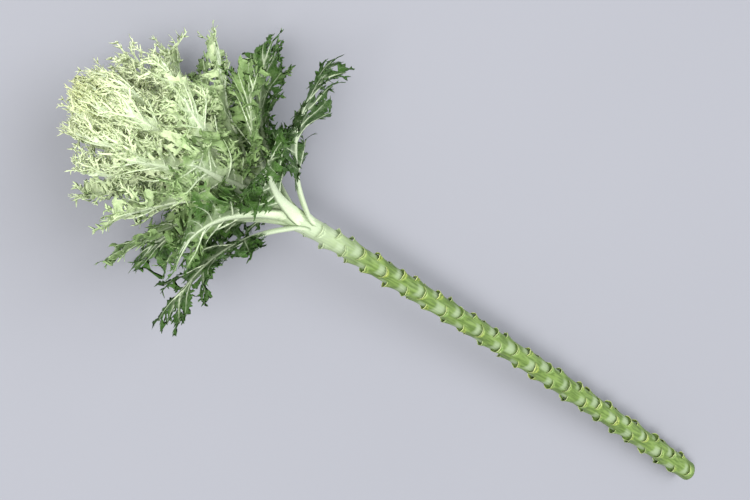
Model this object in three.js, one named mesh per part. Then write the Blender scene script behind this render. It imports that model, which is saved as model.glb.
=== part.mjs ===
// One cut stem of feather-leaved ornamental kale, lying on a table: a stalk ringed with leaf
// stubs, a spiral of leaves that starts as broad green ones at the neck and ends as small cream
// ones round the heart. The lowest leaves are bent where the head rests on the table.
//
// Millimetres, +Z up. +X runs from the cut end to the crown. The origin is on the table, under
// the middle of the object.
import * as THREE from "three";

// Driving dimensions.
const GOLDEN_ANGLE = Math.PI * (3 - Math.sqrt(5));
const DEGREE = Math.PI / 180;

const STALK_LENGTH = 560; // cut end to growing tip
const STALK_CUT_RADIUS = 8.4;
const STALK_NECK_RADIUS = 7.2;
const STALK_TIP_RADIUS = 3.6;
const STALK_BEND = 16; // how far the cut end is out of line with the head
const STALK_SIDES = 16;
const STALK_RING_STEP = 7;
const NECK = 436; // where the leaves begin, along the stalk

const STUB_FIRST = 7; // the lowest leaf stub, along the stalk
const STUB_SPACING = 4.7;
const STUB_HEIGHT = 2.6; // how far a stub stands out
const STUB_RAMP = 10; // how far its base runs down the stalk
const STUB_HALF_WIDTH = 5.2;

const HEAD_REACH = 120; // of the widest leaf, before the head is laid down
const AXIS_HEIGHT = 66; // the head's axis over the table, at REST_STATION
const REST_STATION = 500;
const REST_SHARPNESS = 12; // how flat the underside gets
const STIFF_CORE = 16; // the part round the axis that doesn't give

const LEAVES = 48;
const LOWEST_LEAF = 441;
const HIGHEST_LEAF = 556;
const LEAF_CROWDING = 1.3; // above 1, leaves crowd towards the growing tip
const FIRST_AZIMUTH = 154 * DEGREE; // of the outermost leaf; 0 is upwards
const GATHER = 12; // how much a blade is folded together near the axis
const LEAF_STATIONS = 14;
const PETIOLE_SHARE = 0.24; // of the leaf's length
const LOBES = 5; // a side
const SINUS_DEPTH = 0.42; // how far the cuts between lobes go in
const LOBE_SWEEP = 0.035; // how far lobe tips lean forward, as a share of the length
const LEAF_TURNED = [2, 3, 5]; // so the upper and under skins fold along the same lines
const CLEARANCE = 0.35; // between a leaf's foot and the stalk

const HEART_LENGTH = 36;
const HEART_RADIUS = 3.4;

const OUTER_LEAVES = 16;
const MIDDLE_LEAVES = 18;

const MATERIALS = {
  stalk: { color: 0x9bb56e, roughness: 0.55 },
  green_leaf: { color: 0x5f8a4e, roughness: 0.6 },
  pale_leaf: { color: 0xb4cd8f, roughness: 0.6 },
  cream_leaf: { color: 0xe2eeb0, roughness: 0.6 },
};

const material = (slot) =>
  new THREE.MeshStandardMaterial({ ...MATERIALS[slot], metalness: 0, name: slot });

// The stalk's line: a shallow arc up to the neck, then straight through the head. The stubs hold
// its cut end just off the table.
const CUT_HEIGHT = STALK_CUT_RADIUS + STUB_HEIGHT;
const TILT = Math.asin((AXIS_HEIGHT - CUT_HEIGHT) / REST_STATION);
const ALONG = new THREE.Vector3(Math.cos(TILT), 0, Math.sin(TILT));
const UPWARDS = new THREE.Vector3(-Math.sin(TILT), 0, Math.cos(TILT));
const SIDEWAYS = new THREE.Vector3(0, 1, 0);

const axisPoint = (station) => {
  const below = Math.max(0, 1 - station / NECK);
  return new THREE.Vector3(0, 0, CUT_HEIGHT)
    .addScaledVector(ALONG, station)
    .addScaledVector(SIDEWAYS, STALK_BEND * below * below);
};

const smoothStep = (x) => {
  const t = THREE.MathUtils.clamp(x, 0, 1);
  return t * t * (3 - 2 * t);
};

const stalkRadius = (station) =>
  station < NECK
    ? THREE.MathUtils.lerp(STALK_CUT_RADIUS, STALK_NECK_RADIUS, station / NECK)
    : THREE.MathUtils.lerp(
        STALK_NECK_RADIUS,
        STALK_TIP_RADIUS,
        smoothStep((station - NECK) / (STALK_LENGTH - NECK)),
      );

// The distance to the axis that is left to a leaf once the head lies on the table: below the
// axis, what stands out past the stiff core is squeezed into the room over the table.
const laidDown = (radius, azimuth, station) => {
  const down = -Math.cos(azimuth) * Math.cos(TILT);
  if (down <= 0 || radius < STIFF_CORE) return radius;
  const height = CUT_HEIGHT + station * Math.sin(TILT);
  const crowding = (HEAD_REACH - STIFF_CORE) / (height / down - STIFF_CORE);
  const squeeze = (1 + crowding ** REST_SHARPNESS) ** (-1 / REST_SHARPNESS);
  return STIFF_CORE + (radius - STIFF_CORE) * squeeze;
};

// A point of the head, from its distance to the axis, its azimuth and its place along the axis.
const headPoint = (radius, azimuth, station) => {
  const reach = laidDown(radius, azimuth, station);
  return axisPoint(station)
    .addScaledVector(UPWARDS, reach * Math.cos(azimuth))
    .addScaledVector(SIDEWAYS, reach * Math.sin(azimuth));
};

// A closed body through rings that all have the same number of points, with a cap at each end.
// The quads on the sides in `turned` are split along their other diagonal.
function loft(rings, origin, turned) {
  const size = rings[0].length;
  const points = rings.flat();
  const first = points.length;
  const middle = (ring) =>
    ring.reduce((sum, p) => sum.add(p), new THREE.Vector3()).divideScalar(size);
  points.push(middle(rings[0]), middle(rings[rings.length - 1]));
  const faces = [];
  for (let k = 0; k + 1 < rings.length; k++) {
    for (let j = 0; j < size; j++) {
      const a = k * size + j;
      const b = k * size + ((j + 1) % size);
      if (turned.includes(j)) faces.push(a, b, b + size, a, b + size, a + size);
      else faces.push(a, b, a + size, b, b + size, a + size);
    }
  }
  const last = (rings.length - 1) * size;
  for (let j = 0; j < size; j++) {
    const next = (j + 1) % size;
    faces.push(first, next, j, first + 1, last + j, last + next);
  }
  const geometry = new THREE.BufferGeometry().setFromPoints(points);
  geometry.setIndex(faces);
  geometry.translate(-origin.x, -origin.y, -origin.z);
  geometry.computeVertexNormals();
  return geometry;
}

function piece(name, slot, rings, origin, turned = []) {
  const mesh = new THREE.Mesh(loft(rings, origin, turned), material(slot));
  mesh.name = name;
  mesh.position.copy(origin);
  return mesh;
}

// The stalk, with the stubs that stripped leaves leave behind in the same spiral as the leaves.
function stalk() {
  const stubs = [];
  for (let k = 0; STUB_FIRST + k * STUB_SPACING < NECK - STUB_SPACING; k++) {
    stubs.push({ station: STUB_FIRST + k * STUB_SPACING, azimuth: k * GOLDEN_ANGLE });
  }
  const swelling = (azimuth, station) => {
    let most = 0;
    for (const stub of stubs) {
      const rise = 1 - (stub.station - station) / STUB_RAMP;
      if (rise <= 0 || rise > 1) continue;
      const turn = Math.abs(THREE.MathUtils.euclideanModulo(
        azimuth - stub.azimuth + Math.PI, 2 * Math.PI) - Math.PI);
      const across = (turn * stalkRadius(station)) / STUB_HALF_WIDTH;
      if (across < 1) most = Math.max(most, rise * rise * (1 - across * across));
    }
    return most * STUB_HEIGHT;
  };
  const rings = [];
  const count = Math.round(STALK_LENGTH / STALK_RING_STEP);
  for (let k = 0; k <= count; k++) {
    const station = (k / count) * STALK_LENGTH;
    const ring = [];
    for (let j = 0; j < STALK_SIDES; j++) {
      const azimuth = (-j / STALK_SIDES) * 2 * Math.PI;
      const radius = stalkRadius(station) + (station < NECK ? swelling(azimuth, station) : 0);
      ring.push(axisPoint(station)
        .addScaledVector(UPWARDS, radius * Math.cos(azimuth))
        .addScaledVector(SIDEWAYS, radius * Math.sin(azimuth)));
    }
    rings.push(ring);
  }
  return piece("stalk", "stalk", rings, axisPoint(0));
}

// What a leaf is like, by its age: 0 at the heart, 1 at the neck.
const leafForm = (age) => ({
  foot: HIGHEST_LEAF - (HIGHEST_LEAF - LOWEST_LEAF) * age ** LEAF_CROWDING,
  length: 58 + 64 * age ** 0.6,
  footAngle: (10 + 28 * age) * DEGREE,
  tipAngle: (-25 + 130 * age ** 1.3) * DEGREE,
  halfWidth: 15 + 21 * age ** 0.5,
  petioleHalfWidth: 2.2 + 2.6 * age,
  thickness: 1.3 + 1.7 * age,
});

// The line that a leaf's midrib follows, in the plane through the axis: distance from the axis,
// place along it and the angle to it.
function midrib(form, share) {
  const steps = 40;
  const angleAt = (x) => form.footAngle + (form.tipAngle - form.footAngle) * x ** 1.3;
  let radius = stalkRadius(form.foot) + CLEARANCE + form.thickness / 2;
  let station = form.foot;
  const stride = (form.length * share) / steps;
  for (let k = 0; k < steps; k++) {
    const angle = angleAt(((k + 0.5) / steps) * share);
    radius += stride * Math.sin(angle);
    station += stride * Math.cos(angle);
  }
  return { radius, station, angle: angleAt(share) };
}

// Half the blade's width at a share of the leaf's length, with or without its lobes.
function halfWidthAt(form, share) {
  if (share <= PETIOLE_SHARE) return form.petioleHalfWidth;
  const along = (share - PETIOLE_SHARE) / (1 - PETIOLE_SHARE);
  const outline = Math.sin(Math.PI * Math.min(1, along ** 0.8 * 0.94 + 0.02)) ** 0.75;
  return Math.max(form.petioleHalfWidth * (1 - along), form.halfWidth * outline);
}

function leaf(name, slot, index) {
  const age = index / (LEAVES - 1);
  const form = leafForm(age);
  const azimuth = FIRST_AZIMUTH + (LEAVES - 1 - index) * GOLDEN_ANGLE;
  const point = (share, across, raised) => {
    const line = midrib(form, share);
    const radius = Math.max(0.5, line.radius - raised * Math.cos(line.angle));
    const station = line.station + raised * Math.sin(line.angle);
    return headPoint(radius, azimuth + across / (Math.max(line.radius, 0) + GATHER), station);
  };
  const rings = [];
  for (let k = 0; k <= LEAF_STATIONS; k++) {
    const share = k / LEAF_STATIONS;
    const full = halfWidthAt(form, share);
    const inBlade = share > PETIOLE_SHARE;
    const lobeTurn = ((share - PETIOLE_SHARE) / (1 - PETIOLE_SHARE)) * LOBES * 2 * Math.PI;
    const cut = inBlade ? SINUS_DEPTH * (0.5 + 0.5 * Math.cos(lobeTurn)) : 0;
    const edge = full * (1 - cut);
    const edgeShare = Math.min(1, share + (inBlade ? LOBE_SWEEP * (1 - cut) : 0));
    const inner = Math.min(edge * 0.5, form.petioleHalfWidth * (1.1 - 0.6 * share));
    const half = (form.thickness / 2) * (1 - 0.65 * share);
    rings.push([
      point(share, -inner, half),
      point(share, inner, half),
      point(edgeShare, edge, 0),
      point(share, inner, -half),
      point(share, -inner, -half),
      point(edgeShare, -edge, 0),
    ]);
  }
  return piece(name, slot, rings, point(0, 0, 0), LEAF_TURNED);
}

// The heart: the youngest leaves, still folded together over the growing tip.
function heart() {
  const rings = [];
  const steps = 9;
  const sides = 12;
  for (let k = 0; k <= steps; k++) {
    const along = k / steps;
    const station = STALK_LENGTH + CLEARANCE + HEART_LENGTH * along;
    const radius = HEART_RADIUS * (0.35 + 0.65 * Math.sin(Math.PI * (0.12 + 0.8 * along)));
    const ring = [];
    for (let j = 0; j < sides; j++) {
      const azimuth = (-j / sides) * 2 * Math.PI;
      ring.push(headPoint(radius * (j % 2 ? 1 : 0.85), azimuth, station));
    }
    rings.push(ring);
  }
  return piece("heart", "cream_leaf", rings, axisPoint(STALK_LENGTH));
}

const twoDigits = (number) => String(number).padStart(2, "0");

const plant = new THREE.Group();
plant.add(stalk(), heart());
for (let index = LEAVES - 1; index >= 0; index--) {
  const order = LEAVES - index; // 1 is the lowest leaf
  if (order <= OUTER_LEAVES) {
    plant.add(leaf(`outer_leaf_${twoDigits(order)}`, "green_leaf", index));
  } else if (order <= OUTER_LEAVES + MIDDLE_LEAVES) {
    plant.add(leaf(`middle_leaf_${twoDigits(order - OUTER_LEAVES)}`, "pale_leaf", index));
  } else {
    const place = order - OUTER_LEAVES - MIDDLE_LEAVES;
    plant.add(leaf(`inner_leaf_${twoDigits(place)}`, "cream_leaf", index));
  }
}

// Set the plant down with its footprint's middle on the origin.
plant.updateMatrixWorld(true);
const bounds = new THREE.Box3().setFromObject(plant, true);
const middle = bounds.getCenter(new THREE.Vector3());
plant.position.set(-middle.x, -middle.y, -bounds.min.z);

export default plant;
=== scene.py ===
"""A cut stem of feather-leaved ornamental kale, lying on a pale table.

The stalk carries the stubs of the leaves that were stripped from it. The head is a spiral of
finely cut leaves: broad green ones at the neck, white-ribbed pale ones above them, and a dense
cream crown round the heart. Every leaf is grown as ribbons: a midrib, side veins with a strip of
blade each, lobes on the side veins, and small forked tips on the lobes.

Lengths in the size fields are millimetres, and angles are degrees unless a name says otherwise.
The studio round the stem is in metres.
"""

import logging
import math
from dataclasses import dataclass, field, fields, replace
from enum import Enum

import bpy
import numpy as np
from mathutils import Matrix, Vector
from mathutils.geometry import delaunay_2d_cdt
from mathutils.kdtree import KDTree

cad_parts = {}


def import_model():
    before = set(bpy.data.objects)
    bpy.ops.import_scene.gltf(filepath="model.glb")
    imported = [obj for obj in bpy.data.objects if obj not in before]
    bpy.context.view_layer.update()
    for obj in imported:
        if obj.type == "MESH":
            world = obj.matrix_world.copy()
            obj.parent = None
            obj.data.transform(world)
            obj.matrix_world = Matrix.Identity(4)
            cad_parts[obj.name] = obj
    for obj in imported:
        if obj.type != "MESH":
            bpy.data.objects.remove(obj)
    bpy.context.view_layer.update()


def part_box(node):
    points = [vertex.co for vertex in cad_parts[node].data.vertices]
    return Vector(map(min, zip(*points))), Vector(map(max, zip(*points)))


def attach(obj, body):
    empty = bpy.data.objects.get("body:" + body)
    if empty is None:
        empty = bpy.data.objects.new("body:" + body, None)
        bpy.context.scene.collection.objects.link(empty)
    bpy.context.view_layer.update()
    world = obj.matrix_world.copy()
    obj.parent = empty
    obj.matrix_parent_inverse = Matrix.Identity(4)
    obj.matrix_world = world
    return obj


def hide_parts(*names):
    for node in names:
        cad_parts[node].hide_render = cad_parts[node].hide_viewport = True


log = logging.getLogger("kale")

Array = np.ndarray
Socket = bpy.types.NodeSocket
Colour = tuple[float, float, float, float]

MM = 0.001
GOLDEN_ANGLE = math.pi * (3.0 - math.sqrt(5.0))
LEAF_COUNT = 48


def smooth_step(x: Array) -> Array:
    """Ease from 0 to 1 as x goes from 0 to 1.

    Args:
        x: Any numbers; those outside 0 to 1 are clamped.

    Returns:
        The eased numbers.
    """
    t = np.clip(x, 0.0, 1.0)
    return t * t * (3.0 - 2.0 * t)


def linear(red: int, green: int, blue: int) -> Colour:
    """Turn a screen colour into the light values that shader nodes take.

    Args:
        red: 0 to 255.
        green: 0 to 255.
        blue: 0 to 255.

    Returns:
        Linear red, green and blue, with an alpha of 1.
    """
    values = []
    for part in (red, green, blue):
        c = part / 255.0
        values.append(c / 12.92 if c <= 0.04045 else ((c + 0.055) / 1.055) ** 2.4)
    return (values[0], values[1], values[2], 1.0)


# ---- The lines that the plant is built on ----


@dataclass(frozen=True)
class StemForm:
    """The stalk's line, and the way that the head is spread round it and laid down.

    A point of the head is given by its distance to the axis, its azimuth round it (0 is up)
    and its station along it.

    Attributes:
        stalk_length: From the cut end to the growing tip.
        cut_radius: Bare stalk's radius at the cut end.
        neck_radius: Its radius under the lowest leaf.
        tip_radius: Its radius at the growing tip.
        bend: How far the cut end is bent aside.
        neck: Station of the lowest leaf.
        stub_height: How far the stubs stand out.
        axis_height: Height of the axis over the table at the rest station.
        rest_station: Station where the head lies on the table.
        head_reach: Distance from the axis to the tips of the widest leaves.
        rest_sharpness: How abruptly the leaves bend where they meet the table.
        stiff_core: Distance from the axis within which nothing bends.
    """

    stalk_length: float = 560.0
    cut_radius: float = 8.4
    neck_radius: float = 7.2
    tip_radius: float = 3.6
    bend: float = 16.0
    neck: float = 436.0
    stub_height: float = 2.6
    axis_height: float = 66.0
    rest_station: float = 500.0
    head_reach: float = 120.0
    rest_sharpness: float = 12.0
    stiff_core: float = 16.0

    @property
    def cut_height(self) -> float:
        """Height of the cut end's middle over the table."""
        return self.cut_radius + self.stub_height

    @property
    def tilt(self) -> float:
        """Rise of the axis, in radians."""
        return math.asin((self.axis_height - self.cut_height) / self.rest_station)

    @property
    def along(self) -> Array:
        """Unit vector along the axis, towards the crown."""
        return np.array([math.cos(self.tilt), 0.0, math.sin(self.tilt)])

    @property
    def upwards(self) -> Array:
        """Unit vector square to the axis, pointing up."""
        return np.array([-math.sin(self.tilt), 0.0, math.cos(self.tilt)])

    @property
    def sideways(self) -> Array:
        """Unit vector square to the axis, level."""
        return np.array([0.0, 1.0, 0.0])

    def axis(self, station: Array) -> Array:
        """Find points of the stalk's middle line.

        Args:
            station: Distances from the cut end.

        Returns:
            The points, one row each.
        """
        station = np.asarray(station, float)
        below = np.maximum(0.0, 1.0 - station / self.neck)
        start = np.array([0.0, 0.0, self.cut_height])
        line = start + station[..., None] * self.along
        return line + (self.bend * below**2)[..., None] * self.sideways

    def stalk_radius(self, station: Array) -> Array:
        """Find the bare stalk's radius.

        Args:
            station: Distances from the cut end.

        Returns:
            The radii.
        """
        station = np.asarray(station, float)
        lower = self.cut_radius + (self.neck_radius - self.cut_radius) * station / self.neck
        ease = smooth_step((station - self.neck) / (self.stalk_length - self.neck))
        upper = self.neck_radius + (self.tip_radius - self.neck_radius) * ease
        return np.where(station < self.neck, lower, upper)

    def laid_down(self, radius: Array, azimuth: Array, station: Array) -> Array:
        """Squeeze what hangs below the axis into the room over the table.

        Args:
            radius: Distances to the axis of the head held freely.
            azimuth: Azimuths round the axis, in radians.
            station: Places along the axis.

        Returns:
            The distances to the axis once the head is laid down.
        """
        down = -np.cos(azimuth) * math.cos(self.tilt)
        height = self.cut_height + station * math.sin(self.tilt)
        room = height / np.maximum(down, 1e-6) - self.stiff_core
        crowding = (self.head_reach - self.stiff_core) / np.maximum(room, 1e-3)
        sharp = self.rest_sharpness
        squeeze = (1.0 + np.minimum(crowding, 50.0) ** sharp) ** (-1.0 / sharp)
        pressed = self.stiff_core + (radius - self.stiff_core) * squeeze
        return np.where((down <= 0.0) | (radius < self.stiff_core), radius, pressed)

    def place(self, radius: Array, azimuth: Array, station: Array) -> Array:
        """Place points of the laid-down head.

        Args:
            radius: Distances to the axis of the head held freely.
            azimuth: Azimuths round the axis, in radians.
            station: Places along the axis.

        Returns:
            The points, one row each, in the plant's own millimetres.
        """
        reach = self.laid_down(radius, azimuth, station)
        points = self.axis(station)
        points = points + (reach * np.cos(azimuth))[..., None] * self.upwards
        return points + (reach * np.sin(azimuth))[..., None] * self.sideways


STEM = StemForm()


@dataclass
class Placement:
    """Moves the plant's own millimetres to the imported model's metres.

    Attributes:
        shift: Move from the plant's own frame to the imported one, in millimetres.
        softness: Height over the table under which points are eased onto it.
    """

    shift: Array = field(default_factory=lambda: np.zeros(3))
    softness: float = 1.2

    @classmethod
    def from_frame(cls) -> "Placement":
        """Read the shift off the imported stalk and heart.

        Returns:
            The placement.
        """
        _, stalk_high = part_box("stalk")
        heart_low, heart_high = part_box("heart")
        top = STEM.axis(np.array(STEM.stalk_length))
        own_x = top[0] + STEM.tip_radius * math.sin(STEM.tilt)
        own_z = top[2] + STEM.tip_radius * math.cos(STEM.tilt)
        shift = [
            stalk_high[0] / MM - own_x,
            (heart_low[1] + heart_high[1]) / 2 / MM,
            stalk_high[2] / MM - own_z,
        ]
        return cls(np.array(shift))

    def to_world(self, points: Array) -> Array:
        """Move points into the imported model's frame, in metres, and keep them over the table.

        Args:
            points: Rows of points in the plant's own millimetres.

        Returns:
            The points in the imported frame.
        """
        moved = points + self.shift
        z = moved[..., 2]
        soft = self.softness
        moved[..., 2] = np.where(z < soft, soft * np.exp(np.minimum(z - soft, 0.0) / soft), z)
        return moved * MM


@dataclass(frozen=True)
class Growth:
    """A size that grows from the heart to the neck.

    Attributes:
        young: Its value at the heart.
        gain: How much it grows by.
        power: Below 1 it grows early, above 1 late.
    """

    young: float
    gain: float
    power: float = 1.0

    def at(self, age: float) -> float:
        """Read the size at an age from 0 to 1."""
        return self.young + self.gain * age**self.power


@dataclass(frozen=True)
class LeafForm:
    """The size and line of one leaf, from its age.

    Attributes:
        age: 0 at the heart, 1 at the neck.
        azimuth: Direction of the leaf round the axis, in radians.
        lengths: Length along the midrib.
        half_widths: Half of the blade's greatest width.
        stalk_half_widths: Half of the leaf stalk's width.
        thicknesses: Thickness of the leaf stalk.
        foot_leans: Angle between the midrib's foot and the axis.
        tip_leans: Angle between its tip and the axis.
        lowest: Station of the oldest leaf's foot.
        highest: Station of the youngest leaf's foot.
        crowding: How much closer together the young leaves stand.
        gather: Extra radius that a leaf is folded round, so that it isn't pinched at its foot.
        clearance: Gap between the stalk and the leaf stalk.
        petiole_share: Share of the length without a blade.
        steps: Steps of the midrib's table.
        buried: Steps that run back into the stalk.
        fillet: How softly the leaf stalk runs into the stalk.
    """

    age: float
    azimuth: float
    lengths: Growth = Growth(58.0, 64.0, 0.6)
    half_widths: Growth = Growth(15.0, 21.0, 0.5)
    stalk_half_widths: Growth = Growth(2.2, 2.6)
    thicknesses: Growth = Growth(1.3, 1.7)
    foot_leans: Growth = Growth(10.0, 28.0)
    tip_leans: Growth = Growth(-25.0, 130.0, 1.3)
    lowest: float = 441.0
    highest: float = 556.0
    crowding: float = 1.3
    gather: float = 12.0
    clearance: float = 0.35
    petiole_share: float = 0.24
    steps: int = 48
    buried: int = 5
    fillet: float = 1.2

    @property
    def foot(self) -> float:
        """Station where the leaf leaves the stalk."""
        return self.highest - (self.highest - self.lowest) * self.age**self.crowding

    @property
    def length(self) -> float:
        """Length along the midrib."""
        return self.lengths.at(self.age)

    @property
    def half_width(self) -> float:
        """Half of the blade's greatest width."""
        return self.half_widths.at(self.age)

    @property
    def petiole_half_width(self) -> float:
        """Half of the leaf stalk's width."""
        return self.stalk_half_widths.at(self.age)

    @property
    def thickness(self) -> float:
        """Thickness of the leaf stalk."""
        return self.thicknesses.at(self.age)

    @property
    def start_radius(self) -> float:
        """Distance from the axis to the foot of the midrib."""
        bare = float(STEM.stalk_radius(np.array(self.foot)))
        return bare + self.clearance + self.thickness / 2.0

    def lean(self, share: Array) -> Array:
        """Find the angle between the midrib and the axis.

        Args:
            share: Shares of the length.

        Returns:
            The angles, in radians.
        """
        foot, tip = self.foot_leans.at(self.age), self.tip_leans.at(self.age)
        return np.radians(foot + (tip - foot) * np.clip(share, 0.0, 1.15) ** 1.3)

    def midrib(self) -> tuple[Array, Array, Array]:
        """Follow the midrib from inside the stalk to a little past its tip.

        Returns:
            Shares of the length, distances to the axis and stations.
        """
        stride = self.length / self.steps
        order = np.arange(-self.buried, int(self.steps * 1.3))
        angles = self.lean((order + 0.5) / self.steps)
        outward = np.concatenate([[0.0], np.cumsum(stride * np.sin(angles))])
        onward = np.concatenate([[0.0], np.cumsum(stride * np.cos(angles))])
        radius = self.start_radius + outward - outward[self.buried]
        station = self.foot + onward - onward[self.buried]
        share = np.arange(-self.buried, len(order) - self.buried + 1) / self.steps
        return share, radius, station

    def sinking(self, share: Array, thick: Array) -> Array:
        """Find how far the midrib moves, so that its foot runs down into the stalk.

        Args:
            share: Shares of the length.
            thick: Thickness of the midrib there.

        Returns:
            The moves towards the axis, which are negative where it moves outwards.
        """
        angle = float(self.lean(np.array(0.0)))
        proud = self.clearance + self.thickness / 2.0
        straight = proud + share * self.length * math.sin(angle)
        flush = -thick / 2.0 - 0.2
        eased = (straight + flush) / 2.0 + np.hypot((straight - flush) / 2.0, self.fillet)
        return (straight - eased) / math.cos(angle)

    def gathering(self, share: Array) -> Array:
        """Find how much narrower the leaf gets when it is folded round the axis.

        Args:
            share: Shares of the length.

        Returns:
            How many times narrower it gets.
        """
        share_table, radius_table, _ = self.midrib()
        radius = np.maximum(np.interp(share, share_table, radius_table), 5.0)
        return (radius + self.gather) / radius

    def outline(self, share: Array) -> Array:
        """Find the blade's outline.

        Args:
            share: Shares of the length.

        Returns:
            Half of its width, which is 0 along the leaf stalk.
        """
        along = np.clip((share - self.petiole_share) / (1.0 - self.petiole_share), 0.0, 1.0)
        arch = np.sin(np.pi * np.minimum(1.0, along**0.8 * 0.94 + 0.02))
        return self.half_width * np.maximum(arch, 0.0) ** 0.75

    def place(self, points: Array) -> Array:
        """Bend points of the flat leaf into its place in the head.

        Args:
            points: Rows of distance along the midrib, distance across it and height over it
                on the side that faces the axis.

        Returns:
            The points in the plant's own millimetres.
        """
        share_table, radius_table, station_table = self.midrib()
        share = np.clip(points[..., 0] / self.length, share_table[0], share_table[-1])
        angle = self.lean(share)
        line = np.interp(share, share_table, radius_table)
        station = np.interp(share, share_table, station_table)
        radius = line - points[..., 2] * np.cos(angle)
        station = station + points[..., 2] * np.sin(angle)
        turn = points[..., 1] / (np.maximum(line, 0.0) + self.gather)
        core = 1.0
        radius = np.where(radius < core, core * np.exp(np.minimum(radius - core, 0)), radius)
        return STEM.place(radius, self.azimuth + turn, station)


# ---- Ribbons ----


class Section(Enum):
    """The cross-section of a ribbon, as the points round it: (side, face, vein)."""

    LOBE = ((-1.0, 0.0, 0.0), (0.0, 0.5, 0.5), (1.0, 0.0, 0.0), (0.0, -0.5, 0.5))
    PRONG = ((-1.0, 0.2, 0.1), (1.0, 0.2, 0.1), (0.0, -0.45, 0.4))
    VEIN = ((-1.0, 0.0, 1.0), (0.0, 0.5, 1.0), (1.0, 0.0, 1.0), (0.0, -0.8, 1.0))
    LIP = (
        (-1.0, 0.0, 0.0),
        (0.0, 0.5, 0.4),
        (0.7, 0.24, 0.9),
        (1.0, 0.0, 1.0),
        (0.7, -0.24, 0.9),
        (0.0, -0.5, 0.4),
    )
    RIB = (
        (-1.0, 0.05, 0.75),
        (-0.62, 0.34, 1.0),
        (0.0, 0.26, 1.0),
        (0.62, 0.34, 1.0),
        (1.0, 0.05, 0.75),
        (0.72, -0.5, 1.0),
        (0.0, -0.72, 1.0),
        (-0.72, -0.5, 1.0),
    )


@dataclass
class Ribbons:
    """Ribbons that grow side by side with the same number of stations.

    Attributes:
        line: Middle lines, as (ribbon, station, 3), in leaf space.
        heading: Unit vectors along them.
        face: Unit vectors out of their upper sides.
        half_width: Half widths, as (ribbon, station).
        thickness: Thicknesses.
        fade: 0 at the midrib, 1 at the leaf's margin.
    """

    line: Array
    heading: Array
    face: Array
    half_width: Array
    thickness: Array
    fade: Array

    @property
    def side(self) -> Array:
        """Unit vectors across the ribbons."""
        return np.cross(self.face, self.heading)

    @property
    def spans(self) -> Array:
        """Length of each ribbon."""
        return np.linalg.norm(np.diff(self.line, axis=1), axis=2).sum(axis=1)

    def only(self, chosen: Array) -> "Ribbons":
        """Take some of the ribbons."""
        return Ribbons(*(getattr(self, part.name)[chosen] for part in fields(self)))


@dataclass
class Roots:
    """Where and how ribbons start on a parent.

    Attributes:
        start: Starting points, one row each.
        heading: Starting directions.
        face: Starting normals.
        side: +1 or -1, the side of the parent that each is on.
        fade: Starting fades.
    """

    start: Array
    heading: Array
    face: Array
    side: Array
    fade: Array


def sprout(
    stock: Ribbons,
    parent: Array,
    share: Array,
    side: Array,
    angle: Array,
    lift: Array,
    inset: float = 0.35,
) -> Roots:
    """Start ribbons on the sides of other ribbons.

    Args:
        stock: The parents.
        parent: Which parent each new ribbon starts on.
        share: Where along it, from 0 to 1.
        side: On which side, +1 or -1.
        angle: Angles to the parent's heading, in radians.
        lift: Angles out of the parent's face, in radians.
        inset: How far out from the parent's middle it starts, as a share of its half width.

    Returns:
        The starts.
    """
    count = stock.line.shape[1]
    place = np.clip(share, 0.0, 1.0) * (count - 1)
    low = np.minimum(place.astype(int), count - 2)
    t = (place - low)[:, None]

    def at(values: Array) -> Array:
        """Interpolate a table of the parents."""
        mix = t if values.ndim == 3 else t[:, 0]
        return values[parent, low] * (1 - mix) + values[parent, low + 1] * mix

    heading = at(stock.heading)
    heading /= np.linalg.norm(heading, axis=1, keepdims=True)
    face = at(stock.face)
    face -= heading * np.sum(face * heading, axis=1, keepdims=True)
    face /= np.linalg.norm(face, axis=1, keepdims=True)
    across = np.cross(face, heading)
    start = at(stock.line) + across * (side * at(stock.half_width) * inset)[:, None]
    cos_a, sin_a = np.cos(angle)[:, None], np.sin(angle)[:, None]
    out = heading * cos_a + across * side[:, None] * sin_a
    cos_l, sin_l = np.cos(lift)[:, None], np.sin(lift)[:, None]
    lifted = out * cos_l + face * sin_l
    normal = face * cos_l - out * sin_l
    return Roots(start, lifted, normal, side, at(stock.fade))


def grow(
    roots: Roots,
    stations: int,
    length: Array,
    bend: Array,
    curl: Array,
    twist: Array,
    fade_end: Array,
) -> Ribbons:
    """Grow ribbons from their starts; widths and thicknesses are set afterwards.

    Args:
        roots: The starts.
        stations: Number of stations of each.
        length: Lengths.
        bend: Turns within the face, towards the parent's heading, in radians.
        curl: Turns out of the face, in radians.
        twist: Turns of the face about the heading, in radians.
        fade_end: Fades at the ends.

    Returns:
        The ribbons.
    """
    number = len(length)
    line = np.zeros((number, stations, 3))
    heading = np.zeros((number, stations, 3))
    face = np.zeros((number, stations, 3))
    t, n = roots.heading.copy(), roots.face.copy()
    steps = stations - 1
    stride = (length / steps)[:, None]
    turn = (-roots.side * bend / steps)[:, None]
    rise = (curl / steps)[:, None]
    roll = (twist / steps)[:, None]
    point = roots.start.copy()
    for k in range(stations):
        line[:, k], heading[:, k], face[:, k] = point, t, n
        point = point + t * stride
        b = np.cross(n, t)
        t = t * np.cos(turn) + b * np.sin(turn)
        grown = rise * (0.4 + 1.2 * k / steps)
        t, n = t * np.cos(grown) + n * np.sin(grown), n * np.cos(grown) - t * np.sin(grown)
        b = np.cross(n, t)
        n = n * np.cos(roll) + b * np.sin(roll)
    ease = np.linspace(0.0, 1.0, stations)[None, :]
    fade = roots.fade[:, None] * (1 - ease) + fade_end[:, None] * ease
    blank = np.zeros((number, stations))
    return Ribbons(line, heading, face, blank.copy(), blank.copy(), fade)


# ---- Blades ----


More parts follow.
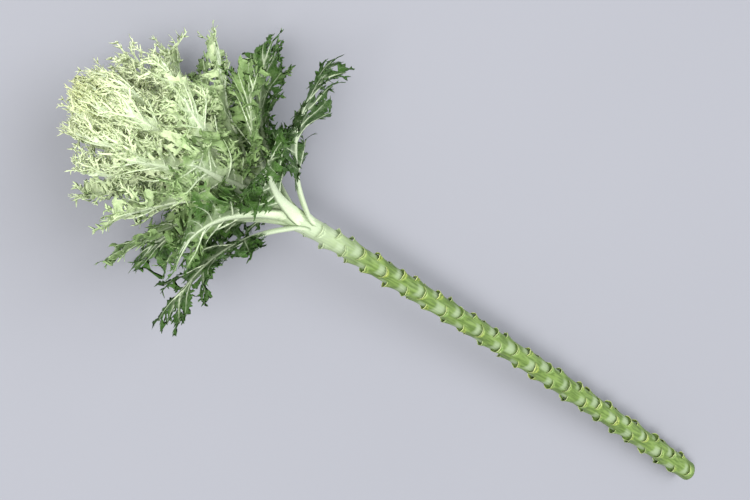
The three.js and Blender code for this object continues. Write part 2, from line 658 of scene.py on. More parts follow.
def open_edges(triangles: Array, count: int) -> Array:
    """Find the edges that bound a set of triangles.

    Args:
        triangles: Rows of three point numbers.
        count: Number of points.

    Returns:
        The edges, in the direction that their triangles run.
    """
    edges = np.concatenate([triangles[:, [0, 1]], triangles[:, [1, 2]], triangles[:, [2, 0]]])
    forward = edges[:, 0] * count + edges[:, 1]
    backward = edges[:, 1] * count + edges[:, 0]
    return edges[~np.isin(forward, backward)]


def loops_of(edges: Array) -> list[list[int]]:
    """Chain directed edges into closed loops.

    Args:
        edges: Rows of a start and an end.

    Returns:
        The loops, as lists of point numbers.
    """
    onward: dict[int, list[int]] = {}
    for a, b in edges.tolist():
        onward.setdefault(a, []).append(b)
    loops = []
    for start in list(onward):
        while onward[start]:
            loop, place = [start], onward[start].pop()
            while place != start and onward.get(place):
                loop.append(place)
                place = onward[place].pop()
            if place == start and len(loop) > 2:
                loops.append(loop)
    return loops


def loop_area(points: Array) -> float:
    """Signed area inside a closed loop of flat points."""
    following = np.roll(points, -1, axis=0)
    return float(np.sum(points[:, 0] * following[:, 1] - points[:, 1] * following[:, 0])) / 2.0


def bounded(points: Array, edges: Array) -> Array:
    """Find which points lie inside a boundary.

    Args:
        points: Flat points.
        edges: The boundary's edges, as (edge, end, axis).

    Returns:
        True for each point inside.
    """
    x, y = points[:, 0, None], points[:, 1, None]
    (x0, y0), (x1, y1) = edges[:, 0].T, edges[:, 1].T
    spans = (y0 > y) != (y1 > y)
    slope = (x1 - x0) / np.where(y1 == y0, 1.0, y1 - y0)
    crossed = spans & (x0 + (y - y0) * slope > x)
    return np.sum(crossed, axis=1) % 2 == 1


@dataclass
class Blade:
    """The continuous part of a leaf: one thin skin over the union of its flat strips.

    Attributes:
        web: Thickness between the veins.
        smallest_hole: Holes under this area are filled.
        kink: Corners of the margin that span less than this area are smoothed away.
        crumb: Triangles that lie wholly on the margin are dropped under this area.
        apart: Least distance between points inside the blade.
        narrow: Strips under this half width have no points in their middle.
        wide: Strips over this half width have points beside their middle too.
        beside: Where these lie, as a share of the half width.
        crest: Points with more vein than this keep their own height.
        neighbours: How many strip points give a point of the blade its height.
        blur: How far their heights are blended into each other.
        polygons: Outlines of the strips.
        inside: Rows of place (3), thickness, fade and vein inside the strips.
    """

    web: float = 0.34
    smallest_hole: float = 0.6
    kink: float = 0.02
    crumb: float = 0.2
    apart: float = 1.0
    narrow: float = 0.4
    wide: float = 3.2
    beside: float = 0.55
    crest: float = 0.9
    neighbours: int = 9
    blur: float = 0.6
    polygons: list[Array] = field(default_factory=list)
    inside: list[Array] = field(default_factory=list)

    def add(self, strips: Ribbons, ridge: float) -> None:
        """Lay strips into the blade.

        Args:
            strips: The strips.
            ridge: How strongly their middles show as veins, from 0 to 1.
        """
        flat = strips.line[..., :2]
        heading = np.gradient(flat, axis=1)
        heading /= np.maximum(np.linalg.norm(heading, axis=2, keepdims=True), 1e-9)
        square = np.stack([-heading[..., 1], heading[..., 0]], axis=-1)
        out = square * strips.half_width[..., None]
        self.polygons.extend(np.concatenate([flat - out, (flat + out)[:, ::-1]], axis=1))
        rows = np.concatenate(
            [
                strips.line,
                strips.thickness[..., None],
                strips.fade[..., None],
                np.full(strips.fade.shape + (1,), ridge),
            ],
            axis=2,
        )
        self.inside.append(rows[:, :-1][strips.half_width[:, :-1] > self.narrow])
        wide = strips.half_width > self.wide
        for share in (-self.beside, self.beside):
            flank = rows.copy()
            flank[..., :2] = flat + out * share
            flank[..., 3] = self.web
            flank[..., 5] = 0.0
            self.inside.append(flank[wide])

    def margin(self) -> tuple[Array, list[list[int]]]:
        """Join the strips' outlines.

        Returns:
            Flat points, and the loops of them that bound the union.
        """
        corners = [tuple(corner) for polygon in self.polygons for corner in polygon]
        faces, start = [], 0
        for polygon in self.polygons:
            faces.append(list(range(start, start + len(polygon))))
            start += len(polygon)
        made = delaunay_2d_cdt(corners, [], faces, 1, 1e-4, True)
        points = np.array([tuple(point) for point in made[0]])
        triangles = np.array([face for face, source in zip(made[2], made[5]) if source])
        loops = []
        for loop in loops_of(open_edges(triangles, len(points))):
            if abs(loop_area(points[loop])) > self.smallest_hole:
                loops.append(self.smoothed(points, loop))
        return points, loops

    def smoothed(self, points: Array, loop: list[int]) -> list[int]:
        """Leave the smallest kinks out of a loop.

        Args:
            points: Flat points.
            loop: Numbers of the loop's points.

        Returns:
            The numbers that stay.
        """
        for turn in range(4):
            line = points[loop]
            before = np.roll(line, 1, axis=0) - line
            after = np.roll(line, -1, axis=0) - line
            area = np.abs(before[:, 0] * after[:, 1] - before[:, 1] * after[:, 0]) / 2.0
            parity = np.arange(len(loop)) % 2 == turn % 2
            loop = [k for k, small in zip(loop, (area < self.kink) & parity) if not small]
        return loop

    def thinned(self) -> Array:
        """Choose the points inside the blade, none too close to another.

        Returns:
            Their rows.
        """
        rows = np.concatenate(self.inside)
        taken: dict[tuple[int, int], list[Array]] = {}
        chosen = []
        for index, row in enumerate(rows):
            cell = (int(row[0] // self.apart), int(row[1] // self.apart))
            near = [
                other
                for i in (-1, 0, 1)
                for j in (-1, 0, 1)
                for other in taken.get((cell[0] + i, cell[1] + j), ())
            ]
            if all(np.hypot(*(other - row[:2])) >= self.apart for other in near):
                taken.setdefault(cell, []).append(row[:2])
                chosen.append(index)
        return rows[chosen]

    def fill(self) -> tuple[Array, Array, Array]:
        """Cover the union with triangles.

        Returns:
            Rows of place (3), thickness, fade and vein; triangles; and which rows lie on
            the margin.
        """
        points, loops = self.margin()
        middles = self.thinned()
        rim = np.concatenate([points[loop] for loop in loops])
        first = np.concatenate([np.arange(len(loop)) for loop in loops])
        start = np.arange(len(rim)) - first
        size = np.repeat([len(loop) for loop in loops], [len(loop) for loop in loops])
        edges = np.stack([np.arange(len(rim)), start + (first + 1) % size], axis=1)
        corners = [tuple(p) for p in np.concatenate([rim, middles[:, :2]])]
        made = delaunay_2d_cdt(corners, edges.tolist(), [], 1, 1e-4, True)
        flat = np.array([tuple(point) for point in made[0]])
        triangles = np.array(made[2])
        triangles = triangles[bounded(flat[triangles].mean(axis=1), rim[edges])]
        rows = self.raised(flat)
        for index, source in enumerate(made[3]):
            if source and source[0] >= len(rim):
                middle = middles[source[0] - len(rim)]
                rows[index, 3:] = middle[3:]
                if middle[5] > self.crest:
                    rows[index, 2] = middle[2]
        on_rim = np.zeros(len(flat), bool)
        on_rim[open_edges(triangles, len(flat)).ravel()] = True
        return self.plumped(rows, triangles, on_rim)

    def raised(self, flat: Array) -> Array:
        """Give flat points the height and fade of the strips round them.

        Args:
            flat: The flat points.

        Returns:
            Rows of place (3), thickness, fade and vein.
        """
        rows = np.concatenate(self.inside)
        tree = KDTree(len(rows))
        for index, row in enumerate(rows):
            tree.insert((row[0], row[1], 0.0), index)
        tree.balance()
        result = np.zeros((len(flat), 6))
        result[:, :2] = flat
        result[:, 3] = self.web
        for index, point in enumerate(flat):
            found = tree.find_n((point[0], point[1], 0.0), self.neighbours)
            weight = np.array([1.0 / (gap * gap + self.blur) ** 1.5 for _, _, gap in found])
            near = rows[[number for _, number, _ in found]]
            result[index, 2] = weight @ near[:, 2] / weight.sum()
            result[index, 4] = weight @ near[:, 4] / weight.sum()
        return result

    def plumped(self, rows: Array, triangles: Array, on_rim: Array) -> tuple[Array, Array, Array]:
        """Put a point inside each triangle that lies wholly on the margin.

        Args:
            rows: Rows of place (3), thickness, fade and vein.
            triangles: The triangles.
            on_rim: Which rows lie on the margin.

        Returns:
            The rows, the triangles and the marks of the margin, with the new points.
        """
        flat = on_rim[triangles].all(axis=1)
        a, b, c = (rows[triangles[:, k], :2] for k in range(3))
        area = ((b - a)[:, 0] * (c - a)[:, 1] - (b - a)[:, 1] * (c - a)[:, 0]) / 2.0
        kept = triangles[~flat]
        bare = triangles[flat & (np.abs(area) > self.crumb)]
        middle = rows[bare].mean(axis=1)
        number = len(rows) + np.arange(len(bare))
        fans = [np.stack([bare[:, k], bare[:, (k + 1) % 3], number], axis=1) for k in range(3)]
        rows = np.concatenate([rows, middle])
        on_rim = np.concatenate([on_rim, np.zeros(len(bare), bool)])
        return rows, np.concatenate([kept, *fans]), on_rim


# ---- Leaf meshes ----


@dataclass
class Shelf:
    """Packs small rectangles into rows on a square sheet.

    Attributes:
        width: Width of the sheet.
        x: Where the next rectangle of the row goes.
        y: Where the row starts.
        row: Height of the row so far.
    """

    width: float
    x: float = 0.0
    y: float = 0.0
    row: float = 0.0

    def put(self, wide: float, high: float) -> tuple[float, float]:
        """Find room for a rectangle.

        Args:
            wide: Its width.
            high: Its height.

        Returns:
            Its lower left corner.
        """
        if self.x + wide > self.width:
            self.x, self.y, self.row = 0.0, self.y + self.row, 0.0
        corner = (self.x, self.y)
        self.x += wide
        self.row = max(self.row, high)
        return corner


@dataclass
class SkinMesh:
    """Gathers blades, ribbons and tubes into one mesh, with a bake map of their skins.

    Faces are gathered by their number of corners, and map corners with them.

    Attributes:
        labels: Names of the numbers that each point carries for its finish.
        grain: Map units for each step of a skin.
        gap: Map units between skins.
        slack: How much more room the map gets than the skins take.
        upper_share: Share of a blade's thickness that lies over its middle.
        points: Points, by skin.
        marks: What the points carry.
        faces: Faces, as rows of point numbers.
        maps: Map corners of the faces, before the skins are spread out.
        sharp: Edges that shade sharply.
        cells: Number, width and height of the cells that each skin's map takes.
        total: Number of points so far.
    """

    labels: tuple[str, ...] = ("fade", "vein")
    grain: float = 3.0
    gap: float = 2.0
    slack: float = 1.05
    upper_share: float = 0.35
    points: list[Array] = field(default_factory=list)
    marks: list[Array] = field(default_factory=list)
    faces: list[Array] = field(default_factory=list)
    maps: list[Array] = field(default_factory=list)
    sharp: list[Array] = field(default_factory=list)
    cells: list[tuple[int, int, int]] = field(default_factory=list)
    total: int = 0

    def add_blade(self, blade: Blade) -> None:
        """Add a blade: an upper and an under skin that meet along the margin.

        Args:
            blade: The blade.
        """
        rows, triangles, on_rim = blade.fill()
        upper = rows[:, :3].copy()
        upper[~on_rim, 2] += self.upper_share * rows[~on_rim, 3]
        under = rows[~on_rim, :3].copy()
        under[:, 2] -= (1.0 - self.upper_share) * rows[~on_rim, 3]
        partner = np.arange(len(rows))
        partner[~on_rim] = len(rows) + np.arange(len(under))
        self.points.append(np.concatenate([upper, under]))
        self.marks.append(np.concatenate([rows[:, 4:6], rows[~on_rim, 4:6]]))
        self.faces.append(self.total + triangles)
        self.faces.append(self.total + partner[triangles][:, ::-1])
        self.sharp.append(self.total + open_edges(triangles, len(rows)))
        low = rows[:, :2].min(axis=0)
        flat = (rows[:, :2] - low)[:, ::-1] * self.grain + self.gap
        wide, high = flat.max(axis=0) + self.gap
        self.maps.append(flat[triangles])
        self.maps.append(flat[triangles][:, ::-1] + (wide, 0.0))
        self.cells.append((2, wide, high))
        self.total += len(upper) + len(under)

    def add_ribbons(self, ribbons: Ribbons, section: Section) -> None:
        """Add closed ribbons of one section.

        Args:
            ribbons: The ribbons.
            section: Their cross-section.
        """
        ring = np.array(section.value)
        size = len(ring)
        number, stations = ribbons.half_width.shape
        if number == 0:
            return
        side = ribbons.side[:, :, None, :]
        face = ribbons.face[:, :, None, :]
        out = ring[None, None, :, 0] * ribbons.half_width[:, :, None]
        up = ring[None, None, :, 1] * ribbons.thickness[:, :, None]
        points = ribbons.line[:, :, None, :] + side * out[..., None] + face * up[..., None]
        self.points.append(points.reshape(-1, 3))
        marks = np.zeros((number, stations, size, len(self.labels)))
        marks[..., 0] = ribbons.fade[:, :, None]
        marks[..., 1] = ring[None, None, :, 2]
        self.marks.append(marks.reshape(-1, len(self.labels)))
        a = self.add_faces(number, stations, size)
        if section in (Section.LOBE, Section.LIP):
            rims = (0, size // 2)
            edges = np.stack([a[..., rims], a[..., rims] + size], axis=-1)
            self.sharp.append(edges.reshape(-1, 2))
        self.map_ribbons(number, stations, size)

    def add_faces(self, number: int, stations: int, size: int) -> Array:
        """Add the faces of closed ribbons or tubes.

        Args:
            number: Number of them.
            stations: Stations of each.
            size: Points round each.

        Returns:
            First corners of the faces along them, as (ribbon, station, side).
        """
        base = self.total + np.arange(number)[:, None, None] * stations * size
        j = np.arange(size)
        step = base + np.arange(stations - 1)[None, :, None] * size
        a, b = step + j, step + (j + 1) % size
        self.faces.append(np.stack([a, a + size, b + size, b], axis=-1).reshape(-1, 4))
        first = base[:, 0] + j
        self.faces.append(np.concatenate([first, first[:, ::-1] + (stations - 1) * size]))
        self.total += number * stations * size
        return a

    def add_tube(self, points: Array, marks: Array, bands: int) -> None:
        """Add a closed tube.

        Args:
            points: Rings of points, as (ring, side, 3).
            marks: What each point carries, as (ring, side, label).
            bands: Number of lengths that its skin is mapped in, side by side.
        """
        rings, size = points.shape[:2]
        self.points.append(points.reshape(-1, 3))
        self.marks.append(marks.reshape(-1, len(self.labels)))
        self.add_faces(1, rings, size)
        j = np.arange(size)[None, :]
        high = math.ceil((rings - 1) / bands)
        ring = np.arange(rings - 1)[:, None]
        u = (ring // high) * (size * self.grain + self.gap) + j * self.grain + self.gap
        v = (ring % high) * self.grain + self.gap + 0 * j
        far_u, far_v = u + self.grain, v + self.grain
        corners = [(u, v), (u, far_v), (far_u, far_v), (far_u, v)]
        skin = np.stack([np.stack(corner, axis=-1) for corner in corners], axis=-2)
        self.maps.append(skin.reshape(-1, 4, 2))
        ends = np.stack([skin[0, :, 0], skin[-1, ::-1, 1]])
        self.maps.append(ends + (0.5 * self.grain, 0.0))
        wide = bands * (size * self.grain + self.gap) + self.gap
        self.cells.append((1, wide, high * self.grain + 2.0 * self.gap))

    def map_ribbons(self, number: int, stations: int, size: int) -> None:
        """Lay each ribbon's skin out flat in a cell; the cells are moved apart later.

        Args:
            number: Number of ribbons.
            stations: Stations of each.
            size: Points round each.
        """
        du = dv = self.grain
        j = np.arange(size)[None, :]
        s = np.arange(stations - 1)[:, None]
        u = np.stack(np.broadcast_arrays(j, j, j + 1, j + 1), axis=-1) * du
        v = np.stack(np.broadcast_arrays(s, s + 1, s + 1, s), axis=-1) * dv
        u = np.broadcast_to(u, (stations - 1, size, 4))
        v = np.broadcast_to(v, (stations - 1, size, 4))
        side = np.stack([u, v], axis=-1) + self.gap / 2
        self.maps.append(np.tile(side.reshape(1, -1, 4, 2), (number, 1, 1, 1)))
        ring = (np.arange(size) + 0.5) * du
        first = np.stack([ring, np.full(size, 0.02 * dv)], axis=-1) + self.gap / 2
        last = np.stack([ring, np.full(size, (stations - 1.02) * dv)], axis=-1) + self.gap / 2
        ends = [np.tile(end, (number, 1, 1)) for end in (first, last[::-1])]
        self.maps.append(np.stack(ends))
        self.cells.append((number, size * du + self.gap, (stations - 1) * dv + self.gap))

    def bake_map(self) -> list[Array]:
        """Spread the gathered cells over one square.

        Returns:
            Map corners for each set of faces.
        """
        area = sum(number * wide * high for number, wide, high in self.cells)
        shelf = Shelf(math.sqrt(area) * self.slack + 30.0)
        result = []
        for index, (number, wide, high) in enumerate(self.cells):
            first, second = self.maps[2 * index], self.maps[2 * index + 1]
            if first.ndim == 3:
                corner = np.array(shelf.put(number * wide, high))
                result += [first + corner, second + corner]
                continue
            corners = np.array([shelf.put(wide, high) for _ in range(number)])
            result.append((first + corners[:, None, None, :]).reshape(-1, 4, 2))
            result.append((second + corners[None, :, None, :]).reshape(-1, second.shape[2], 2))
        extent = max(shelf.width, shelf.y + shelf.row)
        return [part / extent for part in result]

    def triangles(self) -> int:
        """Number of triangles of the finished mesh."""
        return sum(len(faces) * (faces.shape[1] - 2) for faces in self.faces)

    def build(self, name: str, points: Array, extra: dict[str, float]) -> bpy.types.Object:
        """Make the mesh object.

        Args:
            name: Name of the piece.
            points: All points in metres, in the order that they were added.
            extra: Values that are the same all over the piece, by attribute name.

        Returns:
            The object.
        """
        turned = self.faces_inward(points)
        loops, uvs, starts = [], [], []
        offset = 0
        for faces, corners in zip(self.faces, self.bake_map()):
            size = faces.shape[1]
            loops.append((faces[:, ::-1] if turned else faces).reshape(-1))
            uvs.append((corners[:, ::-1] if turned else corners).reshape(-1, 2))
            starts.append(offset + np.arange(len(faces)) * size)
            offset += faces.size
        loops, uvs, starts = map(np.concatenate, (loops, uvs, starts))
        mesh = bpy.data.meshes.new(name)
        mesh.vertices.add(len(points))
        mesh.vertices.foreach_set("co", points.astype(np.float32).ravel())
        mesh.loops.add(len(loops))
        mesh.loops.foreach_set("vertex_index", loops.astype(np.int32))
        mesh.polygons.add(len(starts))
        mesh.polygons.foreach_set("loop_start", starts.astype(np.int32))
        mesh.update(calc_edges=True)
        layer = mesh.uv_layers.new(name="OFBake")
        layer.data.foreach_set("uv", uvs.astype(np.float32).ravel())
        marks = np.concatenate(self.marks).astype(np.float32)
        for index, label in enumerate(self.labels):
            slot = mesh.attributes.new(label, "FLOAT", "POINT")
            slot.data.foreach_set("value", np.ascontiguousarray(marks[:, index]))
        for label, value in extra.items():
            slot = mesh.attributes.new(label, "FLOAT", "POINT")
            slot.data.foreach_set("value", np.full(len(points), value, np.float32))
        mesh.polygons.foreach_set("use_smooth", np.ones(len(starts), bool))
        self.mark_sharp(mesh)
        mesh.update()
        piece = bpy.data.objects.new(name, mesh)
        bpy.context.scene.collection.objects.link(piece)
        return piece

    def mark_sharp(self, mesh: bpy.types.Mesh) -> None:
        """Make the margins shade sharply.

        Args:
            mesh: The mesh.
        """
        ends = np.zeros(len(mesh.edges) * 2, np.int32)
        mesh.edges.foreach_get("vertices", ends)
        ends = np.sort(ends.reshape(-1, 2), axis=1).astype(np.int64)
        wanted = np.sort(np.concatenate(self.sharp), axis=1)
        count = len(mesh.vertices) + 1
        marks = np.isin(ends[:, 0] * count + ends[:, 1], wanted[:, 0] * count + wanted[:, 1])
        slot = mesh.attributes.new("sharp_edge", "BOOLEAN", "EDGE")
        slot.data.foreach_set("value", marks)

    def faces_inward(self, points: Array) -> bool:
        """Tell whether the faces point inwards, by the volume that they enclose.

        Args:
            points: All points, in the order that they were added.

        Returns:
            True where they have to be turned round.
        """
        volume = 0.0
        middle = points.mean(axis=0)
        for faces in self.faces:
            for k in range(1, faces.shape[1] - 1):
                a, b, c = (points[faces[:, i]] - middle for i in (0, k, k + 1))
                volume += float(np.einsum("ij,ij->", a, np.cross(b, c)))
        return volume < 0.0


# ---- Leaves ----


@dataclass
class KaleLeaf:
    """One finely cut leaf.

    Attributes:
        name: Name of the piece.
        form: Its size and line.
        seed: Seed of its irregularities.
        rib_end: Share of the length where the midrib ends.
        blade_start: Share of the length where the blade starts.
        rib_stations: Stations along the midrib.
        vein_stations: Stations along a side vein.
        lobe_stations: Stations along a lobe.
        prong_stations: Stations along a tooth.
    """

    name: str
    form: LeafForm
    seed: int
    rib_end: float = 0.9
    blade_start: float = 0.2
    rib_stations: int = 30
    vein_stations: int = 10
    lobe_stations: int = 6
    prong_stations: int = 3

    def __post_init__(self) -> None:
        """Start the leaf's own run of irregularities."""
        self.chance = np.random.default_rng(self.seed)

    @property
    def frizz(self) -> float:
        """How frizzy the leaf is: 1 at the heart, 0 at the neck."""
        return 1.0 - float(smooth_step((self.form.age - 0.42) / 0.45))

    def spread(self, low: float, high: float, count: int) -> Array:
        """Draw numbers evenly between two limits."""
        return self.chance.uniform(low, high, count)

    def by_age(self, *values: float) -> float:
        """Read a value off a row of values that are spaced evenly from heart to neck."""
        return float(np.interp(self.form.age, np.linspace(0.0, 1.0, len(values)), values))

    def rib_share(self, share: Array) -> Array:
        """Turn shares of the leaf's length into shares of the midrib's ribbon."""
        buried = self.form.buried / self.form.steps
        return (share + buried) / (self.rib_end + buried)

    def midrib(self) -> Ribbons:
        """Shape the leaf stalk and midrib.

        Returns:
            One ribbon.
        """
        form = self.form
        share = np.linspace(-form.buried / form.steps, self.rib_end, self.rib_stations)
        line = np.zeros((1, self.rib_stations, 3))
        line[0, :, 0] = share * form.length
        sway = self.spread(-1.0, 1.0, 2) * 1.6
        blade = np.clip((share - self.blade_start) / 0.7, 0.0, 1.0)
        line[0, :, 1] = sway[0] * np.sin(blade * 2.6) + sway[1] * np.sin(blade * 5.5) * blade
        thick = (form.thickness + 0.7) * (1.0 - 0.8 * np.clip(share, 0.0, 1.0) ** 1.2)
        thick = thick * (0.3 + 0.7 * smooth_step((share + 0.1) / 0.12))
        line[0, :, 2] = form.sinking(share, thick)
        heading = np.gradient(line, axis=1)
        heading /= np.linalg.norm(heading, axis=2, keepdims=True)
        face = np.zeros_like(line)
        face[..., 2] = 1.0
        foot = form.petiole_half_width
        broad = self.by_age(2.6, 4.2, 4.6, 4.0)
        swell = smooth_step((share - 0.04) / 0.16)
        width = (foot + (broad - foot) * swell) * (1.0 - 0.93 * blade**0.75)
        width = width * (1.0 + 0.2 * np.exp(-np.maximum(share, 0.0) / 0.035))
        width = width * form.gathering(share)
        fade = 0.15 * blade[None, :] ** 2
        return Ribbons(line, heading, face, np.maximum(width, 0.35)[None], thick[None], fade)

    def wing(self, rib: Ribbons) -> Ribbons:
        """Shape the strip of blade that runs along the midrib.

        Args:
            rib: The midrib.

        Returns:
            One ribbon.
        """
        share = rib.line[0, :, 0] / self.form.length
        start = self.blade_start
        along = np.clip((share - start) / (self.rib_end - start), 0.0, 1.0)
        reach = self.by_age(2.6, 5.6, 8.0, 9.0)
        arch = np.sin(np.pi * along**0.6) ** 0.6
        width = np.maximum(rib.half_width[0] * 0.7, 0.5) + reach * arch
        thick = np.full((1, self.rib_stations), 0.5)
        fade = np.full((1, self.rib_stations), 0.3)
        return Ribbons(rib.line, rib.heading, rib.face, width[None], thick, fade)

    def side_veins(self, rib: Ribbons) -> Ribbons:
        """Grow the side veins with their strips of blade, and one that ends the midrib.

        Args:
            rib: The midrib.

        Returns:
            The ribbons.
        """
        form = self.form
        pairs = round(self.by_age(9.0, 8.5, 8.0, 7.4))
        order = np.arange(pairs)
        first = self.by_age(0.2, 0.18, 0.13)
        shares = first + (0.86 - first) * ((order + 0.2) / pairs) ** 0.95
        share = np.concatenate([shares, shares + 0.3 / pairs, [self.rib_end - 0.03]])
        side = np.concatenate([np.ones(pairs), -np.ones(pairs), [1.0]])
        count = 2 * pairs + 1
        ended = np.arange(count) == count - 1
        share = share + np.where(ended, 0.0, self.spread(-0.14, 0.14, count) / pairs)
        share = np.clip(share, first - 0.02, self.rib_end)
        end = np.minimum(share + 0.13 + 0.1 * np.sin(np.pi * share), 0.98)
        end = end + self.spread(-0.02, 0.02, count)
        forward = (end - share) * form.length
        fullness = self.by_age(0.92, 0.86, 0.9)
        outward = form.outline(np.clip(end, 0.3, 0.97)) * self.spread(0.9, 1.08, count) * fullness
        outward *= np.interp(share, [0.12, 0.26], [0.7, 1.0])
        outward = np.where(ended, 0.3, outward)
        length = np.hypot(forward, outward) * 1.04
        bend = np.radians(self.spread(2, 26, count))
        angle = np.arctan2(outward, forward) + bend / 2
        parity = np.where(np.concatenate([order, order + 1, [0]]) % 2 == 0, 1.0, -1.0)
        ruffle = self.by_age(24.0, 15.0, 6.0)
        cup = self.by_age(10.0, 16.0, 6.0, -3.0)
        lift = cup + parity * ruffle * self.spread(0.2, 1.0, count) + self.spread(-6, 6, count)
        roots = sprout(
            rib, np.zeros(count, int), self.rib_share(share), side, angle, np.radians(lift), 0.3
        )
        curl = np.radians(self.by_age(26.0, 8.0, -8.0) + self.spread(-1, 1, count) * ruffle)
        twist = np.radians(self.spread(-1, 1, count) * self.by_age(40.0, 24.0, 10.0))
        fade = self.spread(0.75, 0.95, count)
        veins = grow(roots, self.vein_stations, length, bend, curl, twist, fade)
        t = np.linspace(0.0, 1.0, self.vein_stations)
        widths = [
            self.by_age(1.7, 2.0, 2.6, 3.4),
            self.by_age(1.0, 1.15, 1.3, 1.9),
            self.by_age(0.75, 0.85, 0.95, 1.3),
            0.2,
        ]
        width = np.interp(t, [0.0, 0.42, 0.86, 1.0], widths)[None, :]
        veins.half_width = width * self.spread(0.85, 1.15, count)[:, None]
        veins.thickness = np.broadcast_to(0.95 - 0.5 * t[None, :], veins.half_width.shape).copy()
        return veins

    def lobes(self, veins: Ribbons) -> tuple[Ribbons, Array]:
        """Grow the lobes along the side veins.

        Args:
            veins: The side veins.

        Returns:
            The ribbons, and which of them curl free of the blade.
        """
        spacing = self.by_age(3.4, 4.3, 5.2, 5.6)
        parent, share, side, length = [], [], [], []
        base = self.by_age(6.6, 7.8, 7.6, 7.0)
        for k, span in enumerate(veins.spans):
            number = max(2, int(round(span * 0.8 / spacing)))
            places = 0.2 + 0.78 * (np.arange(number) + 0.5) / number
            for sign in (1.0, -1.0):
                jitter = self.spread(-0.3, 0.3, number) / number
                here = np.clip(places + jitter + 0.25 * sign / number, 0.14, 0.97)
                arch = 0.62 + 0.5 * here - 0.3 * np.maximum(here - 0.8, 0.0)
                parent.append(np.full(number, k))
                share.append(here)
                side.append(np.full(number, sign))
                long = (base + span * self.by_age(0.1, 0.1, 0.07)) * arch
                length.append(long * self.spread(0.75, 1.25, number))
        parent, share, side, length = map(np.concatenate, (parent, share, side, length))
        count = len(share)
        free = self.chance.random(count) < max(self.frizz * 1.1 - 0.06, 0.3)
        calm = np.where(free, 1.0, 0.3)
        angle = np.radians(52.0 - 24.0 * share + self.spread(-10, 10, count))
        wild = self.by_age(37.0, 24.0, 14.0) * calm
        cup = self.by_age(8.0, 16.0, 4.0, -2.0)
        lift = np.radians(cup * calm + self.chance.normal(0, 1, count) * wild)
        roots = sprout(veins, parent, share, side, angle, lift, 0.7)
        bend = np.radians(self.spread(-16, 44, count))
        curl = self.by_age(26.0, 10.0, -4.0) * calm + self.chance.normal(0, 1.3, count) * wild
        twist = self.spread(-1, 1, count) * self.by_age(70.0, 50.0, 20.0) * calm
        fade = self.spread(0.9, 1.0, count)
        curl, twist = np.radians(curl), np.radians(twist)
        lobes = grow(roots, self.lobe_stations, length, bend, curl, twist, fade)
        t = np.linspace(0.0, 1.0, self.lobe_stations)
        young = np.interp(t, [0.0, 0.4, 0.8, 1.0], [0.8, 0.54, 0.5, 0.22])
        old = np.interp(t, [0.0, 0.3, 0.6, 0.85, 1.0], [1.6, 1.3, 1.15, 0.75, 0.08])
        width = young + (old - young) * self.by_age(0.0, 0.0, 0.25, 1.0)
        size = np.clip(length / 9.0, 0.65, 1.15)[:, None]
        lobes.half_width = width[None] * size * self.spread(0.85, 1.15, count)[:, None]
        lobes.thickness = np.broadcast_to(0.55 - 0.2 * t, lobes.half_width.shape).copy()
        return lobes, free

    def prongs(self, lobes: Ribbons, flat: bool) -> Ribbons:
        """Grow the teeth and forks on lobes.

        Args:
            lobes: The lobes.
            flat: Whether they lie in the blade.

        Returns:
            The ribbons.
        """
        spans = lobes.spans
        number = len(spans)
        places = [(0.3, 0.48, 1.0), (0.4, 0.58, -1.0), (0.62, 0.84, 1.0), (0.7, 0.9, -1.0)]
        parent = np.tile(np.arange(number), 4)
        side = np.repeat([p[2] for p in places], number)
        share = np.concatenate([self.spread(p[0], p[1], number) for p in places])
        keep = self.chance.random(4 * number) < np.where(share < 0.6, 0.75, 0.95)
        keep &= spans[parent] > np.where(share < 0.6, 6.0, 3.5)
        parent, side, share = parent[keep], side[keep], share[keep]
        count = len(share)
        angle = np.radians(self.spread(30, 54, count))
        wild = 8.0 if flat else 26.0
        lift = np.radians(self.chance.normal(0, wild, count))
        roots = sprout(lobes, parent, share, side, angle, lift, 0.3 if flat else 0.45)
        length = np.clip(spans[parent] * self.spread(0.3, 0.5, count), 2.2, 5.4)
        bend = np.radians(self.spread(-10, 40, count))
        curl = np.radians(self.chance.normal(0, wild, count))
        fade = np.ones(count)
        prongs = grow(roots, self.prong_stations, length, bend, curl, curl * 0.5, fade)
        young = np.array([0.56, 0.48, 0.16])
        old = np.array([1.3, 0.95, 0.08])
        width = young + (old - young) * self.by_age(0.0, 0.2, 0.6, 1.0)
        prongs.half_width = width[None] * self.spread(0.85, 1.2, count)[:, None]
        prongs.thickness = np.full(prongs.half_width.shape, 0.5)
        return prongs

    def ruffled(self, points: Array) -> Array:
        """Wave the blade up and down along its two margins, and turn it about its midrib.

        Args:
            points: Points in leaf space.

        Returns:
            The waved points.
        """
        form = self.form
        height = self.by_age(1.5, 3.0, 4.5, 5.0) * self.spread(0.75, 1.25, 1)[0]
        droop = self.by_age(2.0, 5.0, 2.0, -1.0) + self.spread(-2.0, 2.0, 1)[0]
        wave = form.length * self.spread(0.34, 0.5, 1)[0]
        phases = self.spread(0.0, 2.0 * math.pi, 2)
        phase = np.where(points[:, 1] > 0.0, phases[0], phases[1])
        across = np.clip(np.abs(points[:, 1]) / form.half_width, 0.0, 1.2)
        lifted = points.copy()
        lifted[:, 2] += height * across**1.4 * np.sin(2.0 * math.pi * points[:, 0] / wave + phase)
        lifted[:, 2] += droop * across**2
        most = np.radians(self.by_age(0.0, 6.0, 16.0, 36.0) * self.spread(-1.0, 1.0, 1)[0])
        turn = most * smooth_step((points[:, 0] / form.length - 0.16) / 0.6)
        sine, cosine = np.sin(turn), np.cos(turn)
        y, z = lifted[:, 1].copy(), lifted[:, 2].copy()
        lifted[:, 1] = y * cosine - z * sine
        lifted[:, 2] = y * sine + z * cosine
        return lifted

